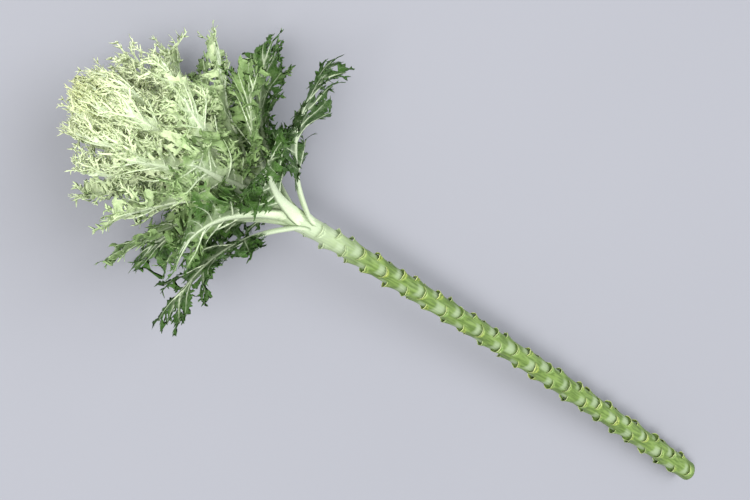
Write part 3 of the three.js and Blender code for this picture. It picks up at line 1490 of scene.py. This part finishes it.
    def lay_into(self, mesh: SkinMesh) -> None:
        """Grow the leaf and add it to a mesh, in the plant's own millimetres.

        Args:
            mesh: Takes the leaf.
        """
        rib = self.midrib()
        veins = self.side_veins(rib)
        lobes, free = self.lobes(veins)
        flat, curled = lobes.only(~free), lobes.only(free)
        blade = Blade(smallest_hole=self.by_age(0.6, 0.8, 3.0, 8.0))
        blade.add(veins, 1.0)
        blade.add(self.wing(rib), 0.0)
        blade.add(flat, 0.5)
        blade.add(self.prongs(flat, True), 0.0)
        ridges = replace(
            veins,
            half_width=0.22 * veins.half_width + 0.1,
            thickness=veins.thickness + 0.35,
            fade=veins.fade * 0.75,
        )
        done = len(mesh.points)
        mesh.add_blade(blade)
        mesh.add_ribbons(rib, Section.RIB)
        mesh.add_ribbons(ridges, Section.VEIN)
        mesh.add_ribbons(curled, Section.LOBE)
        mesh.add_ribbons(self.prongs(curled, False), Section.PRONG)
        grown = np.concatenate(mesh.points[done:])
        mesh.points[done:] = [self.form.place(self.ruffled(grown))]

    def build(self, placement: Placement) -> bpy.types.Object:
        """Build the leaf.

        Args:
            placement: Where the plant stands.

        Returns:
            The piece.
        """
        mesh = SkinMesh()
        self.lay_into(mesh)
        world = placement.to_world(np.concatenate(mesh.points))
        piece = mesh.build(self.name, world, {"age": self.form.age})
        log.info("%s: %d triangles", self.name, mesh.triangles())
        return piece


@dataclass(frozen=True)
class HeartLeafForm(LeafForm):
    """One of the small leaves that are still folded together over the growing tip.

    Attributes:
        shrink: Its size, as a share of the youngest open leaf's.
    """

    shrink: float = 0.56

    @property
    def foot(self) -> float:
        """Station where the leaf leaves the growing tip."""
        return STEM.stalk_length + 2.0 * self.shrink

    @property
    def start_radius(self) -> float:
        """Distance from the axis to the foot of the midrib."""
        return 5.0 * self.shrink - 1.2

    def lean(self, share: Array) -> Array:
        """Angle between the midrib and the axis, in radians, at shares of the length."""
        return np.radians(7.0 - 22.0 * np.clip(share, 0.0, 1.15))

    def sinking(self, share: Array, thick: Array) -> Array:
        """Keep the midrib where it is: its foot is hidden by the older leaves."""
        return np.zeros_like(share)

    def place(self, points: Array) -> Array:
        """Shrink points of the flat leaf and bend them into place."""
        return super().place(points * self.shrink)


@dataclass
class KaleHeart:
    """The heart: the youngest leaves, folded together over the growing tip.

    Attributes:
        placement: Where the plant stands.
        leaves: Number of leaves.
        first_azimuth: Direction of the first, in radians.
        first_seed: Seed of the first leaf's irregularities.
        first_shrink: Size of the first, as a share of the youngest open leaf's.
        last_shrink: Size of the last.
    """

    placement: Placement
    leaves: int = 4
    first_azimuth: float = 1.1
    first_seed: int = 900
    first_shrink: float = 0.6
    last_shrink: float = 0.5

    def build(self) -> None:
        """Build and dress the heart."""
        mesh = SkinMesh()
        for order in range(self.leaves):
            share = order / (self.leaves - 1)
            shrink = self.first_shrink + (self.last_shrink - self.first_shrink) * share
            form = HeartLeafForm(0.0, self.first_azimuth + order * GOLDEN_ANGLE, shrink=shrink)
            KaleLeaf("heart_leaf", form, seed=self.first_seed + order).lay_into(mesh)
        world = self.placement.to_world(np.concatenate(mesh.points))
        piece = mesh.build("kale_heart", world, {"age": 0.0})
        log.info("kale_heart: %d triangles", mesh.triangles())
        piece.data.materials.append(LeafFinish("kale_heart_leaf", 0.32, 0.5).make())
        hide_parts("heart")
        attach(piece, "root")


# ---- Stalk ----


@dataclass(frozen=True)
class Stub:
    """What a stripped leaf leaves on the stalk.

    Attributes:
        station: Where its lip is lowest.
        azimuth: Its direction round the axis, in radians.
        half_width: Half of its width.
        height: How far it stands out.
        ramp: How far its base runs down the stalk.
        horn: How far the two ends of its lip run up the stalk.
        lip: Height of its lip.
        flare: Angle between the lip and the stalk, in radians.
    """

    station: float
    azimuth: float
    half_width: float
    height: float
    ramp: float
    horn: float
    lip: float
    flare: float

    def across(self, azimuth: Array, radius: Array) -> Array:
        """Place across the stub: 0 in the middle, 1 and -1 at its edges."""
        turn = (azimuth - self.azimuth + math.pi) % (2.0 * math.pi) - math.pi
        return turn * radius / self.half_width

    def lip_line(self, across: Array) -> Array:
        """Station of the lip at places across the stub."""
        return self.station + self.horn * (np.abs(across) ** 1.6 - 0.3)


@dataclass
class KaleStalk:
    """The stalk, ringed with the stubs of stripped leaves, with its fresh cut end.

    Attributes:
        placement: Where the plant stands.
        first_stub: Station of the lowest stub.
        stub_spacing: How far each is from the next along the stalk.
        sides: Points round the stalk.
        fine_step: Step along the bare stalk.
        coarse_step: Step along the part inside the head.
        bands: Number of lengths that its skin is mapped in.
        axil_depth: Depth of the notch over a lip.
        rib_height: Height of the fine ribs along the stalk.
        lip_stations: Stations along a lip.
        seed: Seed of the irregularities.
        stubs: The stubs, from the cut end upwards.
    """

    placement: Placement
    first_stub: float = 7.0
    stub_spacing: float = 4.7
    sides: int = 88
    fine_step: float = 1.15
    coarse_step: float = 4.0
    bands: int = 5
    axil_depth: float = 0.55
    rib_height: float = 0.1
    lip_stations: int = 11
    seed: int = 71
    stubs: list[Stub] = field(default_factory=list)

    def __post_init__(self) -> None:
        """Set the stubs in the same spiral as the leaves."""
        chance = np.random.default_rng(self.seed)
        station, order = self.first_stub, 0
        while station < STEM.neck - self.stub_spacing:
            wobble = chance.uniform(-1.0, 1.0, 8)
            self.stubs.append(
                Stub(
                    station=station + 0.7 * wobble[0],
                    azimuth=order * GOLDEN_ANGLE + 0.06 * wobble[1],
                    half_width=5.9 + 0.7 * wobble[2],
                    height=2.0 + 0.3 * wobble[3],
                    ramp=11.0 + 2.0 * wobble[4],
                    horn=3.4 + 0.8 * wobble[5],
                    lip=3.0 + 0.8 * wobble[6],
                    flare=math.radians(38.0 + 14.0 * wobble[7]),
                )
            )
            station += self.stub_spacing
            order += 1

    def swelling(self, azimuth: Array, station: Array) -> tuple[Array, Array, Array]:
        """Find how the stubs shape and mark the skin.

        Args:
            azimuth: Azimuths, in radians.
            station: Places along the axis.

        Returns:
            How far the skin stands out; its bloom, from 0 in the notches, where the finish paints
            shade, over 0.5 to 1 on the pale panels; and how near a lip it is, from 0 to 1.
        """
        radius = STEM.stalk_radius(station)
        out = np.zeros(np.broadcast(azimuth, station).shape)
        notch, bloom, lip = out.copy(), out.copy() + 0.5, out.copy()
        for stub in self.stubs:
            across = stub.across(azimuth, radius)
            below = stub.lip_line(across) - station
            near = (np.abs(across) < 1.0) & (below < stub.ramp) & (below > -stub.ramp)
            if not near.any():
                continue
            x, d = across[near], below[near]
            dome = (1.0 - x * x) ** 0.8
            rise = np.where(d >= 0.0, (1.0 - d / stub.ramp) ** 2, np.exp(d / 0.35))
            out[near] = np.maximum(out[near], stub.height * rise * dome)
            above = np.maximum(-d, 0.0)
            pit = np.where(d < 0.0, dome * np.exp(-above / 1.3), 0.0)
            notch[near] = np.maximum(notch[near], pit * self.axil_depth)
            panel = dome * smooth_step(above / 2.5) * smooth_step((stub.ramp - above) / 5.0)
            bloom[near] = np.maximum(bloom[near], 0.5 + 0.5 * panel)
            # Painted shade: the notch over each lip pulls the bloom mask down towards 0, and the
            # finish darkens it there.
            bloom[near] = np.minimum(bloom[near], 1.0 - 0.95 * pit)
            lip[near] = np.maximum(lip[near], np.where(d >= 0.0, dome**0.5 * np.exp(-d / 2.6), 0))
        return out - notch, bloom, lip

    def tube(self) -> tuple[Array, Array]:
        """Shape the stalk from its cut end to the growing tip.

        Returns:
            Rings of points in the plant's own millimetres, and what they carry.
        """
        bare = np.arange(0.0, STEM.neck + 6.0, self.fine_step)
        hidden = np.arange(bare[-1] + self.coarse_step, STEM.stalk_length, self.coarse_step)
        station = np.concatenate([bare, hidden, [STEM.stalk_length]])[:, None]
        azimuth = np.linspace(0.0, 2.0 * math.pi, self.sides, endpoint=False)[None, :]
        out, bloom, lip = self.swelling(*np.broadcast_arrays(azimuth, station))
        wave = np.sin(3.0 * azimuth + station / 37.0) + np.sin(2.0 * azimuth - station / 23.0)
        ribs = np.sin(21.0 * azimuth + 0.8 * np.sin(station / 9.0))
        radius = STEM.stalk_radius(station) + out + 0.12 * wave + self.rib_height * ribs
        share = np.array([0.01, 0.22, 0.42, 0.6, 0.72, 0.84, 0.93, 0.985])[:, None]
        sunk = np.array([0.9, 0.8, 0.5, 0.25, 0.05, -0.1, 0.1, 0.0])[:, None]
        grit = np.random.default_rng(self.seed + 1).uniform(-0.12, 0.12, (len(share), self.sides))
        cut_radius = radius[:1] * share
        cut_station = sunk + grit * (share > 0.1)
        radius = np.concatenate([cut_radius, radius])
        along = np.broadcast_to(station, (len(station), self.sides))
        station = np.concatenate([cut_station, along])
        azimuth = np.broadcast_to(azimuth, radius.shape)
        points = STEM.axis(station)
        points = points + (radius * np.cos(azimuth))[..., None] * STEM.upwards
        points = points + (radius * np.sin(azimuth))[..., None] * STEM.sideways
        depth = np.broadcast_to(1.0 - 0.5 * share, cut_radius.shape)
        marks = np.zeros(radius.shape + (3,))
        marks[len(share) :, :, 0] = bloom
        marks[len(share) :, :, 1] = lip
        marks[: len(share), :, 2] = depth
        return points, marks

    def lips(self) -> Ribbons:
        """Shape the thin torn lips of the stubs.

        Returns:
            One ribbon for each, in the plant's own millimetres.
        """
        chance = np.random.default_rng(self.seed + 2)
        across = np.linspace(-0.96, 0.96, self.lip_stations)
        lines, headings, faces, halves = [], [], [], []
        for stub in self.stubs:
            station = stub.lip_line(across)
            radius = STEM.stalk_radius(station)
            azimuth = stub.azimuth + across * stub.half_width / radius
            foot = radius + stub.height * (1.0 - across**2) ** 0.8 - 0.5
            torn = 1.0 + chance.uniform(-0.3, 0.3, len(across))
            beak = (1.0 - np.abs(across - chance.uniform(-0.15, 0.15))).clip(0.0) ** 0.75
            half = 0.5 * (0.35 + stub.lip * beak) * torn
            radial = (
                np.cos(azimuth)[:, None] * STEM.upwards + np.sin(azimuth)[:, None] * STEM.sideways
            )
            rising = radial * math.sin(stub.flare) + STEM.along * math.cos(stub.flare)
            line = STEM.axis(station) + radial * foot[:, None] + rising * half[:, None]
            heading = np.gradient(line, axis=0)
            heading -= rising * np.sum(heading * rising, axis=1, keepdims=True)
            heading /= np.linalg.norm(heading, axis=1, keepdims=True)
            lines.append(line)
            headings.append(heading)
            faces.append(np.cross(heading, rising))
            halves.append(half)
        thickness = np.broadcast_to(0.8 - 0.45 * across**2, (len(lines), len(across)))
        bloom = np.full(thickness.shape, 0.6)
        return Ribbons(*map(np.stack, (lines, headings, faces, halves)), thickness, bloom)

    def build(self) -> None:
        """Build and dress the stalk."""
        mesh = SkinMesh(labels=("bloom", "lip", "cut"))
        points, marks = self.tube()
        mesh.add_tube(points, marks, self.bands)
        mesh.add_ribbons(self.lips(), Section.LIP)
        world = self.placement.to_world(np.concatenate(mesh.points))
        piece = mesh.build("kale_stalk", world, {})
        log.info("kale_stalk: %d stubs, %d triangles", len(self.stubs), mesh.triangles())
        piece.data.materials.append(StalkFinish().make())
        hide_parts("stalk")
        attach(piece, "root")


class LeafGroup(Enum):
    """The three kinds of leaf: name, number and finish slot."""

    OUTER = ("outer", 16, "green_leaf")
    MIDDLE = ("middle", 18, "pale_leaf")
    INNER = ("inner", 14, "cream_leaf")


# ---- Finishes ----


@dataclass
class NodeSheet:
    """A material's node tree, with short calls for the nodes that the finishes use.

    Attributes:
        material: The material.
    """

    material: bpy.types.Material

    @classmethod
    def blank(cls, name: str) -> "NodeSheet":
        """Start a material with an empty tree.

        Args:
            name: Name of the material.

        Returns:
            The sheet.
        """
        material = bpy.data.materials.new(name)
        material.use_nodes = True
        material.node_tree.nodes.clear()
        return cls(material)

    def node(self, kind: str, **settings: object) -> bpy.types.Node:
        """Add a node.

        Args:
            kind: Its type.
            **settings: Its properties.

        Returns:
            The node.
        """
        made = self.material.node_tree.nodes.new(kind)
        for key, value in settings.items():
            setattr(made, key, value)
        return made

    def join(self, out: Socket, into: Socket) -> None:
        """Link two sockets."""
        self.material.node_tree.links.new(out, into)

    def feed(self, socket: Socket, value: object) -> None:
        """Link a socket into an input, or set the input's own value.

        Args:
            socket: The input.
            value: A socket or a value.
        """
        if isinstance(value, Socket):
            self.join(value, socket)
        else:
            socket.default_value = value

    def attribute(self, name: str) -> Socket:
        """Read a number from the mesh."""
        return self.node("ShaderNodeAttribute", attribute_name=name).outputs["Fac"]

    def math(self, kind: str, a: object, b: object = 0.0, clamp: bool = False) -> Socket:
        """Combine two numbers.

        Args:
            kind: The sum to do.
            a: First number or socket.
            b: Second number or socket.
            clamp: Whether to keep the result between 0 and 1.

        Returns:
            The result.
        """
        made = self.node("ShaderNodeMath", operation=kind, use_clamp=clamp)
        self.feed(made.inputs[0], a)
        self.feed(made.inputs[1], b)
        return made.outputs[0]

    def span(
        self, value: object, low: float, high: float, to_low: float = 0.0, to_high: float = 1.0
    ) -> Socket:
        """Map a range of numbers smoothly onto another.

        Args:
            value: Number or socket.
            low: Where the range starts.
            high: Where it ends.
            to_low: Result at the start.
            to_high: Result at the end.

        Returns:
            The result.
        """
        made = self.node("ShaderNodeMapRange", interpolation_type="SMOOTHSTEP")
        self.feed(made.inputs["Value"], value)
        made.inputs["From Min"].default_value = low
        made.inputs["From Max"].default_value = high
        made.inputs["To Min"].default_value = to_low
        made.inputs["To Max"].default_value = to_high
        return made.outputs["Result"]

    def mix(self, share: object, a: object, b: object, kind: str = "MIX") -> Socket:
        """Mix two colours.

        Args:
            share: Share of the second colour.
            a: First colour or socket.
            b: Second colour or socket.
            kind: How they are mixed.

        Returns:
            The mixture.
        """
        made = self.node("ShaderNodeMix", data_type="RGBA", blend_type=kind)
        self.feed(made.inputs[0], share)
        self.feed(made.inputs[6], a)
        self.feed(made.inputs[7], b)
        return made.outputs[2]

    def noise(
        self, scale: float, detail: float = 3.0, stretch: tuple | None = None, seed: float = 0.0
    ) -> Socket:
        """Add a noise in the object's own space.

        Args:
            scale: Its scale.
            detail: Its detail.
            stretch: Scale along each axis, where they differ.
            seed: Moves it, so that no two noises are alike.

        Returns:
            A number about 0.5.
        """
        place = self.node("ShaderNodeTexCoord").outputs["Object"]
        mapping = self.node("ShaderNodeMapping")
        self.join(place, mapping.inputs["Vector"])
        mapping.inputs["Location"].default_value = (seed, seed * 0.7, seed * 1.3)
        if stretch:
            mapping.inputs["Scale"].default_value = stretch
        made = self.node("ShaderNodeTexNoise")
        made.inputs["Scale"].default_value = scale
        made.inputs["Detail"].default_value = detail
        self.join(mapping.outputs["Vector"], made.inputs["Vector"])
        return made.outputs["Fac"]

    def shaded(self, colour: object, share: object) -> Socket:
        """Multiply a colour by a number.

        Args:
            colour: Colour or socket.
            share: The number's socket.

        Returns:
            The colour, darker or lighter.
        """
        grey = self.node("ShaderNodeCombineColor")
        for socket in grey.inputs[:3]:
            self.join(share, socket)
        return self.mix(1.0, colour, grey.outputs["Color"], "MULTIPLY")

    def skin(
        self, colour: object, roughness: object, relief: object, strength: float
    ) -> bpy.types.Node:
        """Add a waxy skin with a fine relief.

        Args:
            colour: Its colour.
            roughness: Its roughness.
            relief: Height of the relief, as a socket.
            strength: How strongly the relief shows.

        Returns:
            The shader.
        """
        made = self.node("ShaderNodeBsdfPrincipled")
        self.join(colour, made.inputs["Base Color"])
        self.join(roughness, made.inputs["Roughness"])
        made.inputs["Specular IOR Level"].default_value = 0.4
        bump = self.node("ShaderNodeBump")
        bump.inputs["Strength"].default_value = strength
        bump.inputs["Distance"].default_value = 0.0004
        self.join(relief, bump.inputs["Height"])
        self.join(bump.outputs["Normal"], made.inputs["Normal"])
        return made

    def finished(self, shader: bpy.types.Node) -> bpy.types.Material:
        """Close the tree with a shader.

        Args:
            shader: The shader.

        Returns:
            The material.
        """
        out = self.node("ShaderNodeOutputMaterial")
        self.join(shader.outputs[0], out.inputs["Surface"])
        return self.material

    def network(self, scale: float, bend: object) -> Socket:
        """Lay a net of cells through the object's own space.

        Args:
            scale: Cells to the metre.
            bend: A number that bends the net's lines.

        Returns:
            The distance to the nearest line of the net, as a share of a cell.
        """
        place = self.node("ShaderNodeTexCoord").outputs["Object"]
        bent = self.node("ShaderNodeVectorMath", operation="ADD")
        self.join(place, bent.inputs[0])
        self.feed(bent.inputs[1], self.math("MULTIPLY", bend, 1.4 / scale))
        made = self.node("ShaderNodeTexVoronoi", feature="DISTANCE_TO_EDGE")
        made.inputs["Scale"].default_value = scale
        self.join(bent.outputs[0], made.inputs["Vector"])
        return made.outputs["Distance"]

    def ramp(self, value: object, stops: tuple[tuple[float, Colour], ...]) -> Socket:
        """Turn a number into a colour.

        Args:
            value: Number or socket.
            stops: Places from 0 to 1, with their colours.

        Returns:
            The colour.
        """
        made = self.node("ShaderNodeValToRGB")
        band = made.color_ramp
        band.elements[0].position, band.elements[0].color = stops[0]
        band.elements[1].position, band.elements[1].color = stops[-1]
        for place, colour in stops[1:-1]:
            band.elements.new(place).color = colour
        self.feed(made.inputs["Fac"], value)
        return made.outputs["Color"]


# Colours of the blade near the midrib and of the lobes, by age.
WEB_TONES = (
    (0.0, linear(237, 242, 168)),
    (0.2, linear(234, 243, 185)),
    (0.45, linear(227, 240, 194)),
    (0.64, linear(208, 227, 175)),
    (0.76, linear(148, 180, 110)),
    (0.88, linear(72, 110, 43)),
    (1.0, linear(54, 90, 28)),
)
LOBE_TONES = (
    (0.0, linear(242, 246, 184)),
    (0.2, linear(241, 248, 203)),
    (0.5, linear(239, 248, 210)),
    (0.66, linear(224, 239, 192)),
    (0.76, linear(174, 203, 136)),
    (0.87, linear(77, 118, 45)),
    (1.0, linear(47, 82, 22)),
)


@dataclass(frozen=True)
class LeafFinish:
    """The skin of the leaves, from cream at the heart to deep green at the neck.

    Attributes:
        name: Name of the material.
        glow: How much light comes through the blade.
        roughness: Roughness of the waxy skin.
        vein_tone: Colour of the veins.
    """

    name: str
    glow: float
    roughness: float
    vein_tone: Colour = linear(226, 239, 206)

    def make(self) -> bpy.types.Material:
        """Build the material.

        Returns:
            The material.
        """
        sheet = NodeSheet.blank(self.name)
        age = sheet.attribute("age")
        fade = sheet.attribute("fade")
        vein = sheet.attribute("vein")
        patches = sheet.noise(70.0, 3.0, seed=3.0)
        fine = sheet.noise(900.0, 2.0, seed=9.0)
        mottle = sheet.math("MULTIPLY", sheet.math("SUBTRACT", patches, 0.5), 0.3)
        depth = sheet.math("ADD", age, mottle, clamp=True)
        outward = sheet.span(fade, 0.3, 0.85)
        web = sheet.ramp(depth, WEB_TONES)
        near = sheet.span(fade, 0.3, 0.62, 0.7, 0.0)
        near = sheet.math("MULTIPLY", near, sheet.span(age, 0.55, 0.95, 1.0, 0.3))
        web = sheet.mix(near, web, self.vein_tone)
        lobe = sheet.ramp(depth, LOBE_TONES)
        blade = sheet.mix(outward, web, lobe)
        net = sheet.network(250.0, sheet.noise(420.0, 1.0, seed=4.0))
        netted = sheet.span(net, 0.02, 0.1, 0.2, 0.0)
        netted = sheet.math("MULTIPLY", netted, sheet.span(age, 0.55, 0.9, 1.0, 0.4))
        blade = sheet.mix(netted, blade, self.vein_tone)
        line = sheet.math("POWER", vein, 4.0)
        line = sheet.math("MULTIPLY", line, sheet.span(fade, 0.15, 0.75, 1.0, 0.25))
        line = sheet.math("MULTIPLY", line, sheet.span(age, 0.6, 1.0, 1.0, 0.72))
        colour = sheet.mix(line, blade, self.vein_tone)
        colour = sheet.shaded(colour, sheet.span(fine, 0.35, 0.7, 0.92, 1.06))
        rough = sheet.span(patches, 0.3, 0.7, self.roughness - 0.07, self.roughness + 0.1)
        puckers = sheet.span(net, 0.0, 0.22, 1.2, 0.0)
        puckers = sheet.math("MULTIPLY", puckers, sheet.span(line, 0.0, 0.4, 1.0, 0.0))
        skin = sheet.skin(colour, rough, sheet.math("ADD", fine, puckers), 0.35)
        through = sheet.node("ShaderNodeBsdfTranslucent")
        sheet.join(colour, through.inputs["Color"])
        both = sheet.node("ShaderNodeMixShader")
        sheet.join(sheet.span(line, 0.0, 0.9, self.glow, 0.06), both.inputs[0])
        sheet.join(skin.outputs[0], both.inputs[1])
        sheet.join(through.outputs[0], both.inputs[2])
        return sheet.finished(both)


@dataclass(frozen=True)
class StalkFinish:
    """The skin of the stalk: green ribs, pale bloom, painted shade in the notches over the lips,
    yellow-green lips and a fresh cut.

    Attributes:
        name: Name of the material.
        green: Colour of the skin.
        deep_green: Colour of its darker streaks.
        painted_notch_shade: Dark colour painted into the notches over the lips as shade.
        bloom: Colour of the powdery panels.
        lip: Colour of the drying lips.
        fresh_lip: Colour of the lips that are still green.
        rim: Colour of their torn rims.
        neck: Colour of the stalk inside the head.
        flesh: Colour of the pith on the cut end.
        cut_ring: Colour of the ring round the pith.
        neck_start: Where the stalk starts to take its colour inside the head, in metres.
        neck_end: Where it has taken it.
    """

    name: str = "kale_stalk_skin"
    green: Colour = linear(106, 130, 64)
    deep_green: Colour = linear(78, 101, 43)
    # Painted shade: dark colour for the notches over the lips.
    painted_notch_shade: Colour = linear(54, 72, 28)
    bloom: Colour = linear(142, 158, 126)
    lip: Colour = linear(144, 158, 66)
    fresh_lip: Colour = linear(122, 150, 82)
    rim: Colour = linear(212, 218, 160)
    neck: Colour = linear(180, 194, 164)
    flesh: Colour = linear(226, 232, 196)
    cut_ring: Colour = linear(196, 206, 142)
    neck_start: float = 0.06
    neck_end: float = 0.13

    def make(self) -> bpy.types.Material:
        """Build the material.

        Returns:
            The material.
        """
        sheet = NodeSheet.blank(self.name)
        bloom = sheet.attribute("bloom")
        lip = sheet.attribute("lip")
        cut = sheet.attribute("cut")
        streaks = sheet.noise(1.0, 3.0, stretch=(38.0, 520.0, 520.0), seed=2.0)
        clouds = sheet.noise(60.0, 3.0, seed=5.0)
        fine = sheet.noise(1300.0, 2.0, seed=8.0)
        skin_tone = sheet.mix(sheet.span(streaks, 0.35, 0.65), self.deep_green, self.green)
        uneven = sheet.math("MULTIPLY", sheet.math("SUBTRACT", clouds, 0.5), 0.5)
        powder = sheet.span(sheet.math("ADD", bloom, uneven), 0.55, 1.05, 0.0, 0.85)
        skin_tone = sheet.mix(powder, skin_tone, self.bloom)
        # Painted shade: where the bloom mask falls towards 0 in the notches over the lips, the
        # skin is darkened to the painted notch colour.
        skin_tone = sheet.mix(sheet.span(bloom, 0.05, 0.45, 0.9, 0.0), skin_tone, self.painted_notch_shade)
        ripe = sheet.span(sheet.noise(42.0, 2.0, seed=6.0), 0.4, 0.62)
        lip_tone = sheet.mix(ripe, self.fresh_lip, self.lip)
        skin_tone = sheet.mix(sheet.span(lip, 0.25, 0.8, 0.0, 0.85), skin_tone, lip_tone)
        skin_tone = sheet.mix(sheet.span(lip, 0.82, 1.0, 0.0, 0.8), skin_tone, self.rim)
        place = sheet.node("ShaderNodeSeparateXYZ")
        sheet.join(sheet.node("ShaderNodeTexCoord").outputs["Object"], place.inputs[0])
        inside = sheet.span(place.outputs["X"], self.neck_start, self.neck_end, 0.0, 0.8)
        skin_tone = sheet.mix(inside, skin_tone, self.neck)
        face = sheet.mix(sheet.span(cut, 0.52, 0.7), self.cut_ring, self.flesh)
        skin_tone = sheet.mix(sheet.span(cut, 0.3, 0.5), skin_tone, face)
        rough = sheet.span(powder, 0.0, 0.8, 0.42, 0.68)
        relief = sheet.math("ADD", sheet.math("MULTIPLY", streaks, 1.5), fine)
        return sheet.finished(sheet.skin(skin_tone, rough, relief, 0.4))


@dataclass(frozen=True)
class TableFinish:
    """The pale matt table.

    Attributes:
        colour: Its colour.
        roughness: Its roughness.
    """

    colour: Colour = linear(136, 137, 145)
    roughness: float = 0.75

    def make(self) -> bpy.types.Material:
        """Build the material.

        Returns:
            The material.
        """
        sheet = NodeSheet.blank("pale_table")
        cloud = sheet.span(sheet.noise(3.0, 2.0), 0.3, 0.7, 0.985, 1.0)
        skin = sheet.node("ShaderNodeBsdfPrincipled")
        sheet.join(sheet.shaded(self.colour, cloud), skin.inputs["Base Color"])
        skin.inputs["Roughness"].default_value = self.roughness
        return sheet.finished(skin)


# ---- Head ----


@dataclass
class KaleHead:
    """All the leaves round the stalk's upper end.

    Attributes:
        placement: Where the plant stands.
        first_azimuth: Direction of the oldest leaf, in radians.
        first_seed: Seed of the oldest leaf's irregularities.
    """

    placement: Placement
    first_azimuth: float = math.radians(154.0)
    first_seed: int = 500

    def build(self) -> None:
        """Build and dress every leaf."""
        finishes = {
            "green_leaf": LeafFinish("kale_green_leaf", 0.28, 0.52).make(),
            "pale_leaf": LeafFinish("kale_pale_leaf", 0.3, 0.5).make(),
            "cream_leaf": LeafFinish("kale_cream_leaf", 0.32, 0.5).make(),
        }
        order = 0
        for group in LeafGroup:
            label, number, slot = group.value
            for k in range(number):
                index = LEAF_COUNT - 1 - order
                form = LeafForm(
                    age=index / (LEAF_COUNT - 1),
                    azimuth=self.first_azimuth + order * GOLDEN_ANGLE,
                )
                node = f"{label}_leaf_{k + 1:02d}"
                leaf = KaleLeaf(f"kale_{node}", form, seed=self.first_seed + order)
                piece = leaf.build(self.placement)
                piece.data.materials.append(finishes[slot])
                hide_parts(node)
                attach(piece, "root")
                order += 1
        log.info("kale head: %d leaves", order)


# ---- Studio ----


@dataclass(frozen=True)
class SoftLight:
    """A square soft light.

    Attributes:
        name: Name of the light.
        place: Where it hangs.
        size: Side of the square.
        power: Power, in watts.
        tint: Colour.
    """

    name: str
    place: tuple[float, float, float]
    size: float
    power: float
    tint: tuple[float, float, float]

    def hang(self, aim: tuple[float, float, float]) -> None:
        """Hang the light.

        Args:
            aim: What it points at.
        """
        data = bpy.data.lights.new(self.name, "AREA")
        data.shape = "SQUARE"
        data.size = self.size
        data.energy = self.power
        data.color = self.tint
        light = bpy.data.objects.new(self.name, data)
        light.location = self.place
        away = Vector(aim) - Vector(self.place)
        light.rotation_euler = away.to_track_quat("-Z", "Y").to_euler()
        bpy.context.scene.collection.objects.link(light)


@dataclass(frozen=True)
class Studio:
    """The pale table, the soft lights and the camera.

    Attributes:
        table_half: Half of the table's side.
        table_drop: How far the table lies under the plant, so that the two never share a face.
        lights: The lights.
        head: What they point at.
        sky: Colour of the light from all round.
        sky_strength: How strong it is.
        lens: Focal length of the camera, in millimetres.
        film: Width of its film, in millimetres.
        aim: What it points at.
        lean: How far it leans from straight overhead towards the crown.
        distance: How far it is from what it points at.
        roll: Turn of the picture, from the crown pointing straight up.
        crown: Direction from the cut end to the crown.
    """

    table_half: float = 8.0
    table_drop: float = 0.0006
    lights: tuple[SoftLight, ...] = (
        SoftLight("key", (1.7, 1.25, 4.9), 2.5, 310.0, (1.0, 0.99, 0.97)),
        SoftLight("fill", (-1.55, -2.75, 4.9), 4.5, 280.0, (0.98, 0.99, 1.0)),
    )
    head: tuple[float, float, float] = (0.2, 0.0, 0.07)
    sky: Colour = (0.96, 0.99, 0.98, 1.0)
    sky_strength: float = 0.7
    lens: float = 50.0
    film: float = 36.0
    aim: tuple[float, float, float] = (0.066, -0.009, 0.05)
    lean: float = 18.0
    distance: float = 0.785
    roll: float = -59.0
    crown: tuple[float, float, float] = (1.0, 0.0, 0.12)

    def lay_table(self) -> None:
        """Lay the table."""
        mesh = bpy.data.meshes.new("table")
        half = self.table_half
        corners = [(-half, -half, 0), (half, -half, 0), (half, half, 0), (-half, half, 0)]
        mesh.from_pydata(corners, [], [(0, 1, 2, 3)])
        table = bpy.data.objects.new("table", mesh)
        table.location.z = -self.table_drop
        table.data.materials.append(TableFinish().make())
        bpy.context.scene.collection.objects.link(table)

    def light(self) -> None:
        """Hang the lights and set the sky."""
        for light in self.lights:
            light.hang(self.head)
        world = bpy.data.worlds.new("studio")
        world.use_nodes = True
        back = world.node_tree.nodes["Background"]
        back.inputs["Color"].default_value = self.sky
        back.inputs["Strength"].default_value = self.sky_strength
        bpy.context.scene.world = world
        bpy.context.scene.view_settings.view_transform = "Standard"

    def set_camera(self) -> None:
        """Set the camera over the laid stem."""
        data = bpy.data.cameras.new("camera")
        data.lens = self.lens
        data.sensor_width = self.film
        camera = bpy.data.objects.new("camera", data)
        lean = math.radians(self.lean)
        away = Vector((math.sin(lean), 0.0, math.cos(lean)))
        camera.location = Vector(self.aim) + away * self.distance
        turn = (-away).to_track_quat("-Z", "Y").to_matrix().to_4x4()
        crown = Vector(self.crown) - away * away.dot(Vector(self.crown))
        spin = turn.col[1].to_3d().angle(crown.normalized())
        if turn.col[0].to_3d().dot(crown) > 0:
            spin = -spin
        turn = turn @ Matrix.Rotation(spin + math.radians(self.roll), 4, "Z")
        camera.rotation_euler = turn.to_euler()
        bpy.context.scene.collection.objects.link(camera)
        bpy.context.scene.camera = camera


def main() -> None:
    """Build the stem, its finishes and its setting."""
    logging.basicConfig(level=logging.INFO, format="%(name)s: %(message)s")
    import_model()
    placement = Placement.from_frame()
    log.info("shift %s", np.round(placement.shift, 2))
    studio = Studio()
    studio.set_camera()
    studio.lay_table()
    studio.light()
    KaleStalk(placement).build()
    KaleHeart(placement).build()
    KaleHead(placement).build()
    bpy.context.view_layer.update()


if __name__ == "__main__":
    main()
